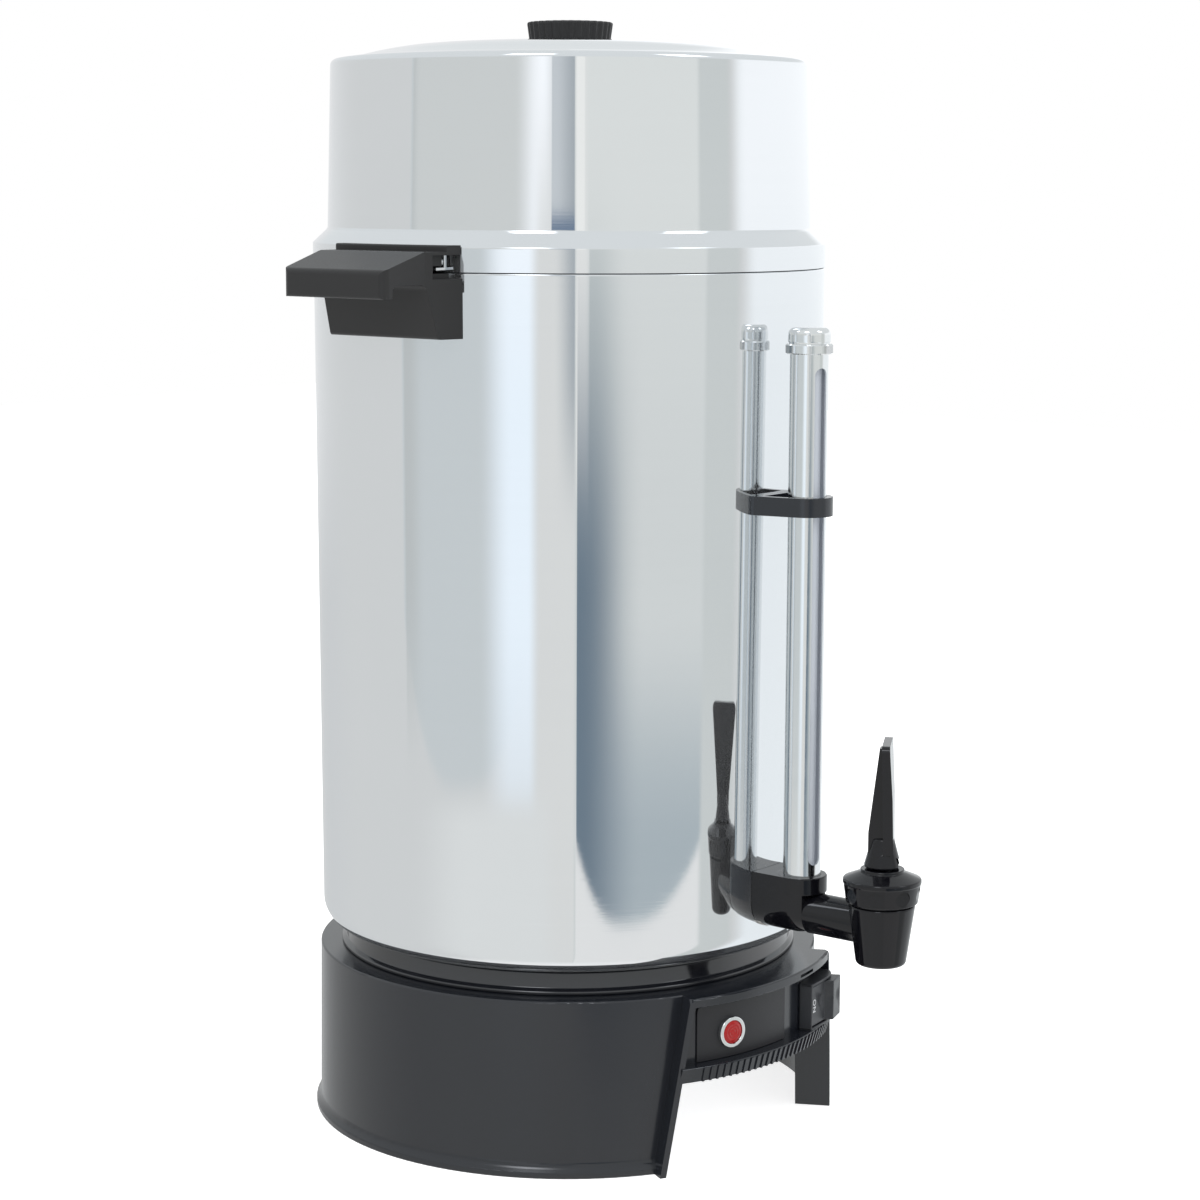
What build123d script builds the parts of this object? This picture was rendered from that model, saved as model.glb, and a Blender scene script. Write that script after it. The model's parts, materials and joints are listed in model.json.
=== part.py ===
import os
from math import cos, radians, sin

from build123d import *

os.makedirs("parts", exist_ok=True)

# The urn stands on the floor plane with its axis on Z; the faucet looks toward -Y.
# Angles in this file are counted round the axis from the faucet, toward +X.

# Main sizes
body_radius = 134.0  # vessel, outside, at its rim
foot_radius = body_radius - 1.8  # vessel, outside, at its bottom
base_height = 90.8  # floor to the top of the base
collar_height = 12.2  # ring between base and vessel
vessel_bottom = base_height + collar_height
vessel_side = 348.6  # bottom of the vessel to the seam of the lid
rim = vessel_bottom + vessel_side
wall = 1.2  # spun aluminium

# Clearances
seam_gap = 0.4  # between vessel and lid
slide_fit = 0.05  # radial, pins and plugs
running_fit = 0.08  # radial, stems and caps
bolt_fit = 0.25  # radial, screws in plain holes

# Lid
band_radius = body_radius + 0.4
lid_bottom = rim + seam_gap
band_top = rim + 12.4
lid_wall_radius = body_radius - 7.4
crown = rim + 116.4

# Handles
handle_angle = 90.0
handle_screw_spread = 7.0
handle_screw_height = rim - 19.6
lug_stop = 5.2  # degrees from the middle of the handle to the stop of the lug

# Faucet
shank_height = vessel_bottom + 26.0
gauge_reach = body_radius + 19.8  # axis of the sight gauge
faucet_reach = body_radius + 68.4  # axis of the faucet
shank_front = gauge_reach + 7.5
faucet_height = shank_height - 0.25
lever_turn = 30.0  # swivel of the lever as it stands
stem_radius = 4.0
pin_radius = 1.45
pin_height = faucet_height + 36.25

# Base
skirt_wall = 2.8
plate_height = base_height - 40.6  # underside of the bottom plate
plate_thickness = 1.2
box_radius = body_radius + 3.0  # face of the control box
border_start = 31.9  # degrees of the window edge at the floor
border_lean = 0.0765  # degrees lost for each mm of height
border_width = 3.2

# Pump and basket
pump_radius = 6.35
basket_radius = 95.0
basket_floor = rim - 71.6
basket_height = 100.0


def vessel_radius(height):
    return foot_radius + (body_radius - foot_radius) * (height - vessel_bottom) / vessel_side


def skirt_radius(height):
    return body_radius + 0.9 * (base_height - height) / base_height


def rounded(points, radii):
    with BuildSketch(Plane.XY) as drawn:
        with BuildLine():
            FilletPolyline(*points, radius=radii, close=True)
        make_face()
    return drawn.sketch


def outward(angle):
    return Vector(sin(radians(angle)), -cos(radians(angle)), 0)


def radial_plane(angle, distance, height=0.0):
    along = Vector(cos(radians(angle)), sin(radians(angle)), 0)
    start = outward(angle) * distance + Vector(0, 0, height)
    return Plane(origin=start, x_dir=along, z_dir=outward(angle))


def profile_plane(angle):
    return radial_plane(angle - 90, 0)


def radial_rod(angle, height, radius, near, far, mode=Mode.ADD):
    with Locations(radial_plane(angle, near, height)):
        Cylinder(radius, far - near, align=(Align.CENTER, Align.CENTER, Align.MIN), mode=mode)


def upright_rod(x, y, radius, low, high, mode=Mode.ADD):
    with Locations((x, y, low)):
        Cylinder(radius, high - low, align=(Align.CENTER, Align.CENTER, Align.MIN), mode=mode)


# Vessel: drawn aluminium shell with a neck for the lid and a heater well
neck_radius = body_radius - 1.4
neck_top = rim + 7.4
well_radius = 34.0
well_floor = vessel_bottom - 13.0
clip_low = rim - 120.2
through_wall = (body_radius - 9, body_radius + 6)

with BuildPart() as vessel:
    with BuildSketch(Plane.XZ):
        add(
            rounded(
                [
                    (0, well_floor),
                    (well_radius, well_floor),
                    (well_radius, vessel_bottom),
                    (foot_radius, vessel_bottom),
                    (body_radius, rim),
                    (neck_radius, rim),
                    (neck_radius, neck_top),
                    (neck_radius - wall, neck_top),
                    (neck_radius - wall, rim - wall),
                    (body_radius - wall, rim - wall),
                    (foot_radius - wall, vessel_bottom + wall),
                    (well_radius - wall, vessel_bottom + wall),
                    (well_radius - wall, well_floor + wall),
                    (0, well_floor + wall),
                ],
                [0, 3.0, 1.5, 12.0, 0.7, 0, 0.4, 0.4, 0.5, 0, 10.8, 2.7, 1.8, 0],
            )
        )
    revolve(axis=Axis.Z)
    radial_rod(0, shank_height, 9.1, *through_wall, Mode.SUBTRACT)
    for side in (-handle_angle, handle_angle):
        for step in (-handle_screw_spread, handle_screw_spread):
            radial_rod(side + step, handle_screw_height, 2.1, *through_wall, Mode.SUBTRACT)
    radial_rod(0, clip_low + 4.6, 2.1, *through_wall, Mode.SUBTRACT)
vessel.part.label = "vessel"
export_step(vessel.part, "parts/vessel.step")

# Weld studs under the vessel and their nuts; they clamp collar and base together
stud_circle = body_radius - 35
stud_angles = (0, 120, 240)

with BuildPart() as vessel_studs:
    for angle in stud_angles:
        foot = outward(angle) * stud_circle
        upright_rod(foot.X, foot.Y, 2.5, base_height - 10.8, vessel_bottom)
        upright_rod(foot.X, foot.Y, 4.6, vessel_bottom - 1.3, vessel_bottom)
vessel_studs.part.label = "vessel_studs"
export_step(vessel_studs.part, "parts/vessel_studs.step")

with BuildPart() as vessel_nuts:
    for angle in stud_angles:
        foot = outward(angle) * stud_circle
        with BuildSketch(Plane(origin=(foot.X, foot.Y, base_height - 6.7))):
            RegularPolygon(4.0, 6, major_radius=False)
            Circle(2.5 + slide_fit, mode=Mode.SUBTRACT)
        extrude(amount=4.1)
vessel_nuts.part.label = "vessel_nuts"
export_step(vessel_nuts.part, "parts/vessel_nuts.step")

# Collar ring: glossy ring that carries the vessel on a bead
with BuildPart() as collar_ring:
    with BuildSketch(Plane.XZ):
        add(
            rounded(
                [
                    (body_radius - 22, base_height),
                    (body_radius - 12, base_height),
                    (body_radius - 12, base_height + 2.2),
                    (body_radius - 15.2, base_height + 4.2),
                    (body_radius - 15.2, vessel_bottom - 1.5),
                    (body_radius - 26, vessel_bottom - 1.5),
                    (body_radius - 26, vessel_bottom),
                    (body_radius - 30, vessel_bottom),
                    (body_radius - 30, vessel_bottom - 1.5),
                    (body_radius - 42, vessel_bottom - 1.5),
                    (body_radius - 42, vessel_bottom - 4.0),
                    (body_radius - 17.8, vessel_bottom - 4.0),
                    (body_radius - 17.8, base_height + 2.2),
                    (body_radius - 22, base_height + 2.2),
                ],
                [0, 0.8, 1.0, 1.0, 1.0, 0, 0.8, 0.8, 0, 0.5, 0.5, 0, 0, 0.5],
            )
        )
    revolve(axis=Axis.Z)
    for angle in stud_angles:
        foot = outward(angle) * stud_circle
        upright_rod(
            foot.X, foot.Y, 2.5 + bolt_fit, vessel_bottom - 6, vessel_bottom + 1, Mode.SUBTRACT
        )
collar_ring.part.label = "collar_ring"
export_step(collar_ring.part, "parts/collar_ring.step")

# Base housing: skirt, deck, control box between two leaning borders
border_middle = base_height / 2
border_angle = border_start - border_lean * border_middle
border_slant = radians(border_lean) * body_radius


def border_plane(side, inset):
    angle = side * border_angle
    lean = Vector(cos(radians(angle)), sin(radians(angle)), 0) * -side
    rise = Vector(0, 0, 1) + lean * border_slant
    inward = lean - Vector(0, 0, 1) * border_slant
    start = outward(angle) * body_radius + Vector(0, 0, border_middle)
    start = start + inward.normalized() * inset
    return Plane(origin=start, x_dir=rise.normalized(), z_dir=inward.normalized())


with BuildPart() as window_cut:
    with BuildSketch(Plane.XZ):
        with Locations((body_radius - 24, -1)):
            Rectangle(40, base_height - 1.6, align=(Align.MIN, Align.MIN))
    revolve(axis=Axis.Z)
    split(bisect_by=border_plane(-1, 0), keep=Keep.TOP)
    split(bisect_by=border_plane(1, 0), keep=Keep.TOP)

with BuildPart() as control_box:
    with BuildSketch(Plane.XZ):
        add(
            rounded(
                [
                    (body_radius - 6, base_height - 2.6),
                    (body_radius + 0.4, base_height - 2.6),
                    (body_radius + 0.4, plate_height - 0.2),
                    (body_radius - 9, plate_height - 0.2),
                    (body_radius - 9, plate_height - 2.7),
                    (body_radius + 8.8, plate_height - 2.7),
                    (body_radius + 11.1, plate_height + 5.5),
                    (box_radius, plate_height + 5.5),
                    (box_radius, base_height - 2.6),
                    (box_radius + 4.2, base_height - 2.6),
                    (box_radius + 4.2, base_height - 4.8),
                    (box_radius + 6.6, base_height - 4.8),
                    (box_radius + 6.6, base_height),
                    (body_radius - 6, base_height),
                ],
                [0, 0, 0, 0, 0.6, 0.6, 0.8, 0, 0, 0, 0.4, 0.4, 1.0, 0],
            )
        )
    revolve(axis=Axis.Z)
    split(bisect_by=border_plane(-1, 1.6), keep=Keep.TOP)
    split(bisect_by=border_plane(1, 1.6), keep=Keep.TOP)

with BuildPart() as borders:
    for side in (-1, 1):
        with BuildSketch(border_plane(side, 0)):
            with Locations((0, 0)):
                Rectangle(1.5 * base_height, 40)
        extrude(amount=border_width)
    with BuildSketch(Plane.XZ):
        with BuildLine():
            Polyline(
                (body_radius - 9, 0),
                (body_radius + 9.8, 0),
                (body_radius + 9.8, base_height - 2),
                (body_radius + 7.8, base_height),
                (body_radius - 2.5, base_height),
                (body_radius - 2.5, plate_height - 1.4),
                (body_radius - 9, plate_height - 1.4),
                close=True,
            )
        make_face()
    revolve(axis=Axis.Z, mode=Mode.INTERSECT)
    split(bisect_by=Plane.XZ, keep=Keep.TOP)

lamp_angle = -13.8
lamp_height = base_height - 21.8
switch_angle = 18.5
switch_height = base_height - 22.8
plate_screw_circle = body_radius - 12
plate_screw_angles = (45, 135, 225, 315)
gland_height = base_height - 22.8

with BuildPart() as base_housing:
    with BuildSketch(Plane.XZ):
        add(
            rounded(
                [
                    (body_radius + 3.3, 0),
                    (body_radius + 3.3, 3.0),
                    (skirt_radius(8.0), 6.0),
                    (body_radius, base_height),
                    (body_radius - 44, base_height),
                    (body_radius - 44, base_height - 2.6),
                    (body_radius - skirt_wall, base_height - 2.6),
                    (skirt_radius(0) - skirt_wall, 0),
                ],
                [0.6, 1.0, 5.0, 1.0, 0.8, 0.8, 0.8, 0.6],
            )
        )
    revolve(axis=Axis.Z)
    add(window_cut.part, mode=Mode.SUBTRACT)
    add(borders.part)
    add(control_box.part)
    for index in range(27):
        angle = -22.1 + 1.7 * index
        with BuildSketch(profile_plane(angle)):
            with BuildLine():
                Polyline(
                    (body_radius + 8.0, plate_height - 2.7),
                    (body_radius + 9.5, plate_height - 2.7),
                    (body_radius + 11.7, plate_height + 5.0),
                    (body_radius + 10.2, plate_height + 5.0),
                    close=True,
                )
            make_face()
        extrude(amount=0.6, both=True)
    for angle in plate_screw_angles:
        spot = outward(angle) * plate_screw_circle
        upright_rod(spot.X, spot.Y, 4.5, plate_height + plate_thickness, base_height - 1)
        upright_rod(spot.X, spot.Y, 1.6, plate_height, plate_height + 16, Mode.SUBTRACT)
    for angle in stud_angles:
        spot = outward(angle) * stud_circle
        upright_rod(
            spot.X, spot.Y, 2.5 + bolt_fit, base_height - 5, base_height + 1, Mode.SUBTRACT
        )
    radial_rod(180, gland_height, 6.5, *through_wall, Mode.SUBTRACT)
    radial_rod(lamp_angle, lamp_height, 5.3, *through_wall, Mode.SUBTRACT)
    with BuildSketch(radial_plane(switch_angle, body_radius - 14, switch_height)):
        Rectangle(30.4, 24.0)
    extrude(amount=30, mode=Mode.SUBTRACT)
    with BuildSketch(radial_plane(switch_angle, body_radius + 2.0, switch_height)):
        Rectangle(33.0, 25.2)
    extrude(amount=5, mode=Mode.SUBTRACT)
    with BuildSketch(radial_plane(9.7, box_radius + 4.4, base_height - 2.7)):
        Rectangle(15, 1.6)
    extrude(amount=5, mode=Mode.SUBTRACT)
base_housing.part.label = "base_housing"
export_step(base_housing.part, "parts/base_housing.step")

# Bottom plate that closes the electrical space, and its screws
with BuildPart() as bottom_plate:
    with BuildSketch(Plane.XY.offset(plate_height)):
        Circle(body_radius - 3.3)
        for angle in plate_screw_angles:
            spot = outward(angle) * plate_screw_circle
            with Locations((spot.X, spot.Y)):
                Circle(1.55 + bolt_fit, mode=Mode.SUBTRACT)
        with PolarLocations(60, 12):
            SlotOverall(26, 4, mode=Mode.SUBTRACT)
    extrude(amount=plate_thickness)
bottom_plate.part.label = "bottom_plate"
export_step(bottom_plate.part, "parts/bottom_plate.step")

with BuildPart() as plate_screws:
    for angle in plate_screw_angles:
        spot = outward(angle) * plate_screw_circle
        upright_rod(spot.X, spot.Y, 3.5, plate_height - 2.4, plate_height)
        upright_rod(spot.X, spot.Y, 1.55, plate_height, plate_height + 14)
    for angle in plate_screw_angles:
        spot = outward(angle) * plate_screw_circle
        with Locations((spot.X, spot.Y, plate_height - 2.4)):
            Box(5.2, 1.0, 2.4, mode=Mode.SUBTRACT)
            Box(1.0, 5.2, 2.4, mode=Mode.SUBTRACT)
plate_screws.part.label = "plate_screws"
export_step(plate_screws.part, "parts/plate_screws.step")

# Handles: one moulding, used twice
handle_low = rim - 31.7
handle_half = 38.8
handle_reach = body_radius + 44.2
handle_gap = 0.1

with BuildPart() as handle_right:
    with BuildSketch(Plane.XZ):
        add(
            rounded(
                [
                    (body_radius - 9, handle_low),
                    (body_radius + 9, handle_low),
                    (body_radius + 16.3, rim - 5.3),
                    (handle_reach - 5.9, rim - 5.3),
                    (handle_reach - 5.9, rim - 11.6),
                    (handle_reach, rim - 11.6),
                    (handle_reach, rim + 1.8),
                    (body_radius + 17, rim + 10.3),
                    (body_radius + 3.6, rim + 10.3),
                    (body_radius + 3.6, rim + 13.4),
                    (body_radius - 9, rim + 13.4),
                ],
                [0, 2.0, 4.0, 2.5, 1.5, 1.5, 3.0, 4.0, 0, 1.0, 0],
            )
        )
    extrude(amount=handle_half, both=True)
    with BuildSketch(Plane.XY.offset(handle_low - 5)):
        add(
            rounded(
                [
                    (body_radius - 14, -handle_half),
                    (body_radius - 6, -handle_half),
                    (body_radius + 16.5, -34.5),
                    (handle_reach, -33.6),
                    (handle_reach, 33.6),
                    (body_radius + 16.5, 34.5),
                    (body_radius - 6, handle_half),
                    (body_radius - 14, handle_half),
                ],
                [0, 3.0, 6.0, 4.0, 4.0, 6.0, 3.0, 0],
            )
        )
    extrude(amount=60, mode=Mode.INTERSECT)
    upright_rod(0, 0, body_radius + handle_gap, handle_low - 1, rim - 0.6, Mode.SUBTRACT)
    upright_rod(0, 0, band_radius + 0.5, rim - 0.6, rim + 20, Mode.SUBTRACT)
    with BuildSketch(profile_plane(handle_angle + lug_stop)):
        with BuildLine():
            Polyline(
                (body_radius - 6, rim - 0.2),
                (body_radius + 11, rim - 0.2),
                (body_radius + 11, rim + 3.4),
                (body_radius + 4.8, rim + 3.4),
                (body_radius + 4.8, rim + 8.8),
                (body_radius - 6, rim + 8.8),
                close=True,
            )
        make_face()
    revolve(axis=Axis.Z, revolution_arc=22, mode=Mode.SUBTRACT)
    with Locations((body_radius + 2, 38.5, rim + 3.05)):
        Box(20, 14, 11.5, mode=Mode.SUBTRACT)
    for step in (-handle_screw_spread, handle_screw_spread):
        radial_rod(
            handle_angle + step, handle_screw_height, 1.9, body_radius - 9, body_radius + 9.2, Mode.SUBTRACT
        )
handle_right.part.label = "handle_right"
export_step(handle_right.part, "parts/handle_right.step")

with BuildPart() as handle_left:
    add(handle_right.part.rotate(Axis.Z, 180))
handle_left.part.label = "handle_left"
export_step(handle_left.part, "parts/handle_left.step")

inner_wall = vessel_radius(handle_screw_height) - wall

with BuildPart() as handle_screws:
    for side in (-handle_angle, handle_angle):
        for step in (-handle_screw_spread, handle_screw_spread):
            angle = side + step
            radial_rod(angle, handle_screw_height, 3.8, inner_wall - 3.4, inner_wall - 1.0)
            radial_rod(angle, handle_screw_height, 1.85, inner_wall - 1.1, body_radius + 8.8)
            with Locations(radial_plane(angle, inner_wall - 3.4, handle_screw_height)):
                Box(5.6, 1.0, 2.0, mode=Mode.SUBTRACT)
                Box(1.0, 5.6, 2.0, mode=Mode.SUBTRACT)
handle_screws.part.label = "handle_screws"
export_step(handle_screws.part, "parts/handle_screws.step")

with BuildPart() as handle_washers:
    for side in (-handle_angle, handle_angle):
        for step in (-handle_screw_spread, handle_screw_spread):
            angle = side + step
            radial_rod(angle, handle_screw_height, 5.0, inner_wall - 1.0, inner_wall - 0.2)
            radial_rod(
                angle, handle_screw_height, 2.0, inner_wall - 2, inner_wall + 1, Mode.SUBTRACT
            )
handle_washers.part.label = "handle_washers"
export_step(handle_washers.part, "parts/handle_washers.step")

# Lid shell: band, flare, tall wall and a low dome
shoulder_radius = lid_wall_radius - 3.0
shoulder_height = crown - 11.8


def lid_face(inset):
    drop = inset * 1.0
    with BuildSketch(Plane.XY) as drawn:
        with BuildLine():
            top = TangentArc(
                (0, crown - drop), (lid_wall_radius - 51.6, crown - 2.6 - drop), tangent=(1, 0)
            )
            brow = TangentArc(
                top @ 1, (shoulder_radius - drop, shoulder_height - drop * 0.9), tangent=top % 1
            )
            Polyline(
                brow @ 1,
                (lid_wall_radius - drop, rim + 20.4),
                (lid_wall_radius + 0.6 - drop, rim + 19.2),
                (band_radius - drop, band_top - drop * 0.5),
                (band_radius - drop, lid_bottom),
                (0, lid_bottom),
                top @ 0,
            )
        make_face()
        shoulder = drawn.vertices().sort_by_distance((shoulder_radius, shoulder_height))[0]
        fillet(shoulder, 6.0 - drop)
        lower = drawn.vertices().sort_by_distance((lid_wall_radius, rim + 19.8))[0]
        fillet(lower, 0.5)
    return drawn.sketch


with BuildPart() as lid_shell:
    with BuildSketch(Plane.XZ):
        add(lid_face(0))
    revolve(axis=Axis.Z)
    with BuildSketch(Plane.XZ):
        add(lid_face(wall))
    revolve(axis=Axis.Z, mode=Mode.SUBTRACT)
    upright_rod(0, 0, 3.0 + running_fit, crown - 5, crown + 1, Mode.SUBTRACT)
    for side in (-handle_angle, handle_angle):
        for step in (-2.3, 2.3):
            angle = side + lug_stop + 4.0 + step
            radial_rod(angle, rim + 5.5, 1.55, band_radius - 4, band_radius + 4, Mode.SUBTRACT)
lid_shell.part.label = "lid_shell"
export_step(lid_shell.part, "parts/lid_shell.step")

# Locking lugs on the band of the lid, with their rivets
with BuildPart() as lid_lugs:
    for side in (-handle_angle, handle_angle):
        with BuildSketch(profile_plane(side + lug_stop + 0.3)):
            with BuildLine():
                Polyline(
                    (band_radius + 0.05, rim + 1.4),
                    (body_radius + 9.5, rim + 1.4),
                    (body_radius + 9.5, rim + 2.6),
                    (band_radius + 1.25, rim + 2.6),
                    (band_radius + 1.25, rim + 8.4),
                    (band_radius + 0.05, rim + 8.4),
                    close=True,
                )
            make_face()
        revolve(axis=Axis.Z, revolution_arc=7.4)
    for side in (-handle_angle, handle_angle):
        for step in (-2.3, 2.3):
            angle = side + lug_stop + 4.0 + step
            radial_rod(angle, rim + 5.5, 1.55, band_radius - 4, band_radius + 4, Mode.SUBTRACT)
lid_lugs.part.label = "lid_lugs"
export_step(lid_lugs.part, "parts/lid_lugs.step")

with BuildPart() as lug_rivets:
    for side in (-handle_angle, handle_angle):
        for step in (-2.3, 2.3):
            angle = side + lug_stop + 4.0 + step
            radial_rod(angle, rim + 5.5, 1.5, band_radius - wall + 0.05, band_radius + 1.5)
            radial_rod(angle, rim + 5.5, 2.6, band_radius + 1.27, band_radius + 2.6)
lug_rivets.part.label = "lug_rivets"
export_step(lug_rivets.part, "parts/lug_rivets.step")

# Lid knob with its screw and washer
knob_low = crown + 1.5
knob_top = crown + 9.5

with BuildPart() as lid_knob:
    with BuildSketch(Plane.XZ):
        add(
            rounded(
                [
                    (0, crown + 0.3),
                    (8, crown + 0.3),
                    (8, knob_low),
                    (21.5, knob_low),
                    (23.5, knob_top),
                    (0, knob_top),
                ],
                [0, 0, 0, 1.0, 1.6, 0],
            )
        )
    revolve(axis=Axis.Z)
    with BuildSketch(Plane.XY.offset(knob_low - 1)):
        with PolarLocations(24.9, 18):
            Circle(2.4)
    extrude(amount=12, mode=Mode.SUBTRACT)
    upright_rod(0, 0, 3.0 + slide_fit, crown, crown + 7, Mode.SUBTRACT)
lid_knob.part.label = "lid_knob"
export_step(lid_knob.part, "parts/lid_knob.step")

with BuildPart() as knob_screw:
    upright_rod(0, 0, 5.5, crown - 6.4, crown - 2.6)
    upright_rod(0, 0, 3.0, crown - 2.7, crown + 6.5)
    with Locations((0, 0, crown - 6.4)):
        Box(8.0, 1.2, 3.0, mode=Mode.SUBTRACT)
        Box(1.2, 8.0, 3.0, mode=Mode.SUBTRACT)
knob_screw.part.label = "knob_screw"
export_step(knob_screw.part, "parts/knob_screw.step")

with BuildPart() as knob_washer:
    upright_rod(0, 0, 8.0, crown - 2.6, crown - 1.4)
    upright_rod(0, 0, 3.1, crown - 3, crown, Mode.SUBTRACT)
knob_washer.part.label = "knob_washer"
export_step(knob_washer.part, "parts/knob_washer.step")

# Shank block: joins vessel, sight gauge and faucet
shank_half = 12.9
shank_top = shank_height + 19.0
shank_bend = shank_top - 17.0
gauge_bore = 9.6 + slide_fit

with BuildPart() as shank_block:
    with BuildSketch(radial_plane(0, body_radius - 14)):
        with Locations((0, shank_bend)):
            Circle(shank_half)
            Rectangle(2 * shank_half, 17, align=(Align.CENTER, Align.MIN))
    extrude(amount=gauge_reach - body_radius + 14)
    upright_rod(0, -gauge_reach, shank_half, shank_bend, shank_top)
    with Locations((0, -gauge_reach, shank_bend)):
        Sphere(shank_half)
    with BuildSketch(radial_plane(0, shank_front)):
        Rectangle(60, 500)
    extrude(amount=20, mode=Mode.SUBTRACT)
    shank_skin = vessel_radius(shank_height) + 0.3
    upright_rod(0, 0, shank_skin, shank_height - 69, shank_height + 69, Mode.SUBTRACT)
    radial_rod(0, shank_height, 11.5, body_radius - 14, foot_radius + 2.4, Mode.SUBTRACT)
    radial_rod(0, shank_height, 9.0, body_radius - 22, body_radius + 2)
    radial_rod(0, shank_height, 6.5, body_radius - 23, shank_front - 7.0, Mode.SUBTRACT)
    radial_rod(
        0, faucet_height, 8.0 + slide_fit, shank_front - 7.4, shank_front + 9, Mode.SUBTRACT
    )
    upright_rod(0, -gauge_reach, gauge_bore, shank_top - 8, shank_top + 1, Mode.SUBTRACT)
    upright_rod(0, -gauge_reach, 6.4, shank_top - 9.8, shank_top, Mode.SUBTRACT)
    upright_rod(0, -gauge_reach, 4.0, shank_height, shank_top, Mode.SUBTRACT)
shank_block.part.label = "shank_block"
export_step(shank_block.part, "parts/shank_block.step")

with BuildPart() as shank_gasket_outer:
    radial_rod(0, shank_height, 11.4, body_radius - 14, foot_radius + 2.3)
    upright_rod(
        0, 0, vessel_radius(shank_height) + 0.15, shank_height - 69, shank_height + 69, Mode.SUBTRACT
    )
    radial_rod(0, shank_height, 9.05, body_radius - 24, body_radius + 6, Mode.SUBTRACT)
shank_gasket_outer.part.label = "shank_gasket_outer"
export_step(shank_gasket_outer.part, "parts/shank_gasket_outer.step")

nut_near = body_radius - 11.5
nut_far = body_radius - 5.5

with BuildPart() as shank_gasket_inner:
    with BuildSketch(Plane.XY.offset(shank_height - 20)):
        Circle(vessel_radius(shank_height) - wall - 0.15)
        with Locations((0, -nut_far + 200)):
            Rectangle(400, 400, mode=Mode.SUBTRACT)
    extrude(amount=40)
    with BuildSketch(radial_plane(0, body_radius - 34, shank_height)):
        Circle(13.4)
        Circle(9.05, mode=Mode.SUBTRACT)
    extrude(amount=60, mode=Mode.INTERSECT)
shank_gasket_inner.part.label = "shank_gasket_inner"
export_step(shank_gasket_inner.part, "parts/shank_gasket_inner.step")

with BuildPart() as shank_nut:
    with BuildSketch(radial_plane(0, nut_near, shank_height)):
        RegularPolygon(12.0, 6, major_radius=False)
        Circle(9.0 + slide_fit, mode=Mode.SUBTRACT)
    extrude(amount=nut_far - nut_near)
shank_nut.part.label = "shank_nut"
export_step(shank_nut.part, "parts/shank_nut.step")

# Sight gauge: slotted shield tube, glass, seals, cap and strap
gauge_foot = shank_top - 7.8
gauge_top = rim - 36.6

with BuildPart() as gauge_shield:
    with BuildSketch(Plane.XY.offset(gauge_foot)):
        with Locations((0, -gauge_reach)):
            Circle(9.6)
            Circle(8.6, mode=Mode.SUBTRACT)
    extrude(amount=gauge_top - gauge_foot)
    with BuildSketch(radial_plane(0, gauge_reach)):
        with Locations((0, (shank_top + 6 + gauge_top - 10) / 2)):
            SlotOverall(gauge_top - 10 - shank_top - 6, 12, rotation=90)
    extrude(amount=20, mode=Mode.SUBTRACT)
gauge_shield.part.label = "gauge_shield"
export_step(gauge_shield.part, "parts/gauge_shield.step")

glass_radius = 6.35

with BuildPart() as gauge_glass:
    upright_rod(0, -gauge_reach, glass_radius, gauge_foot - 1.7, gauge_top - 6)
    upright_rod(0, -gauge_reach, 5.05, gauge_foot - 3, gauge_top, Mode.SUBTRACT)
gauge_glass.part.label = "gauge_glass"
export_step(gauge_glass.part, "parts/gauge_glass.step")

with BuildPart() as gauge_seals:
    for low, high in ((gauge_foot + 0.1, gauge_foot + 6), (gauge_top - 9.4, gauge_top - 6)):
        upright_rod(0, -gauge_reach, 8.55, low, high)
        upright_rod(0, -gauge_reach, glass_radius + 0.05, low - 1, high + 1, Mode.SUBTRACT)
gauge_seals.part.label = "gauge_seals"
export_step(gauge_seals.part, "parts/gauge_seals.step")

cap_low = gauge_top - 3.2

with BuildPart() as gauge_cap:
    with BuildSketch(radial_plane(0, gauge_reach)):
        add(
            rounded(
                [
                    (0, cap_low),
                    (11.1, cap_low),
                    (11.1, cap_low + 5.0),
                    (10.6, cap_low + 5.4),
                    (10.6, cap_low + 12.8),
                    (0, cap_low + 12.8),
                ],
                [0, 0.5, 0.4, 0, 4.0, 0],
            )
        )
    revolve(axis=Axis((0, -gauge_reach, 0), (0, 0, 1)))
    upright_rod(0, -gauge_reach, 9.6 + running_fit, cap_low - 1, gauge_top + 0.4, Mode.SUBTRACT)
    upright_rod(0, -gauge_reach, 6.6, gauge_top, gauge_top + 4, Mode.SUBTRACT)
    upright_rod(0, -gauge_reach, 0.9, gauge_top, gauge_top + 12, Mode.SUBTRACT)
    with BuildSketch(Plane.XY.offset(cap_low)):
        with Locations((0, -gauge_reach)):
            with PolarLocations(11.3, 36):
                Circle(0.45)
    extrude(amount=5.0, mode=Mode.SUBTRACT)
gauge_cap.part.label = "gauge_cap"
export_step(gauge_cap.part, "parts/gauge_cap.step")

clip_high = clip_low + 9.5
clip_skin = vessel_radius(clip_low) + 0.15

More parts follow.
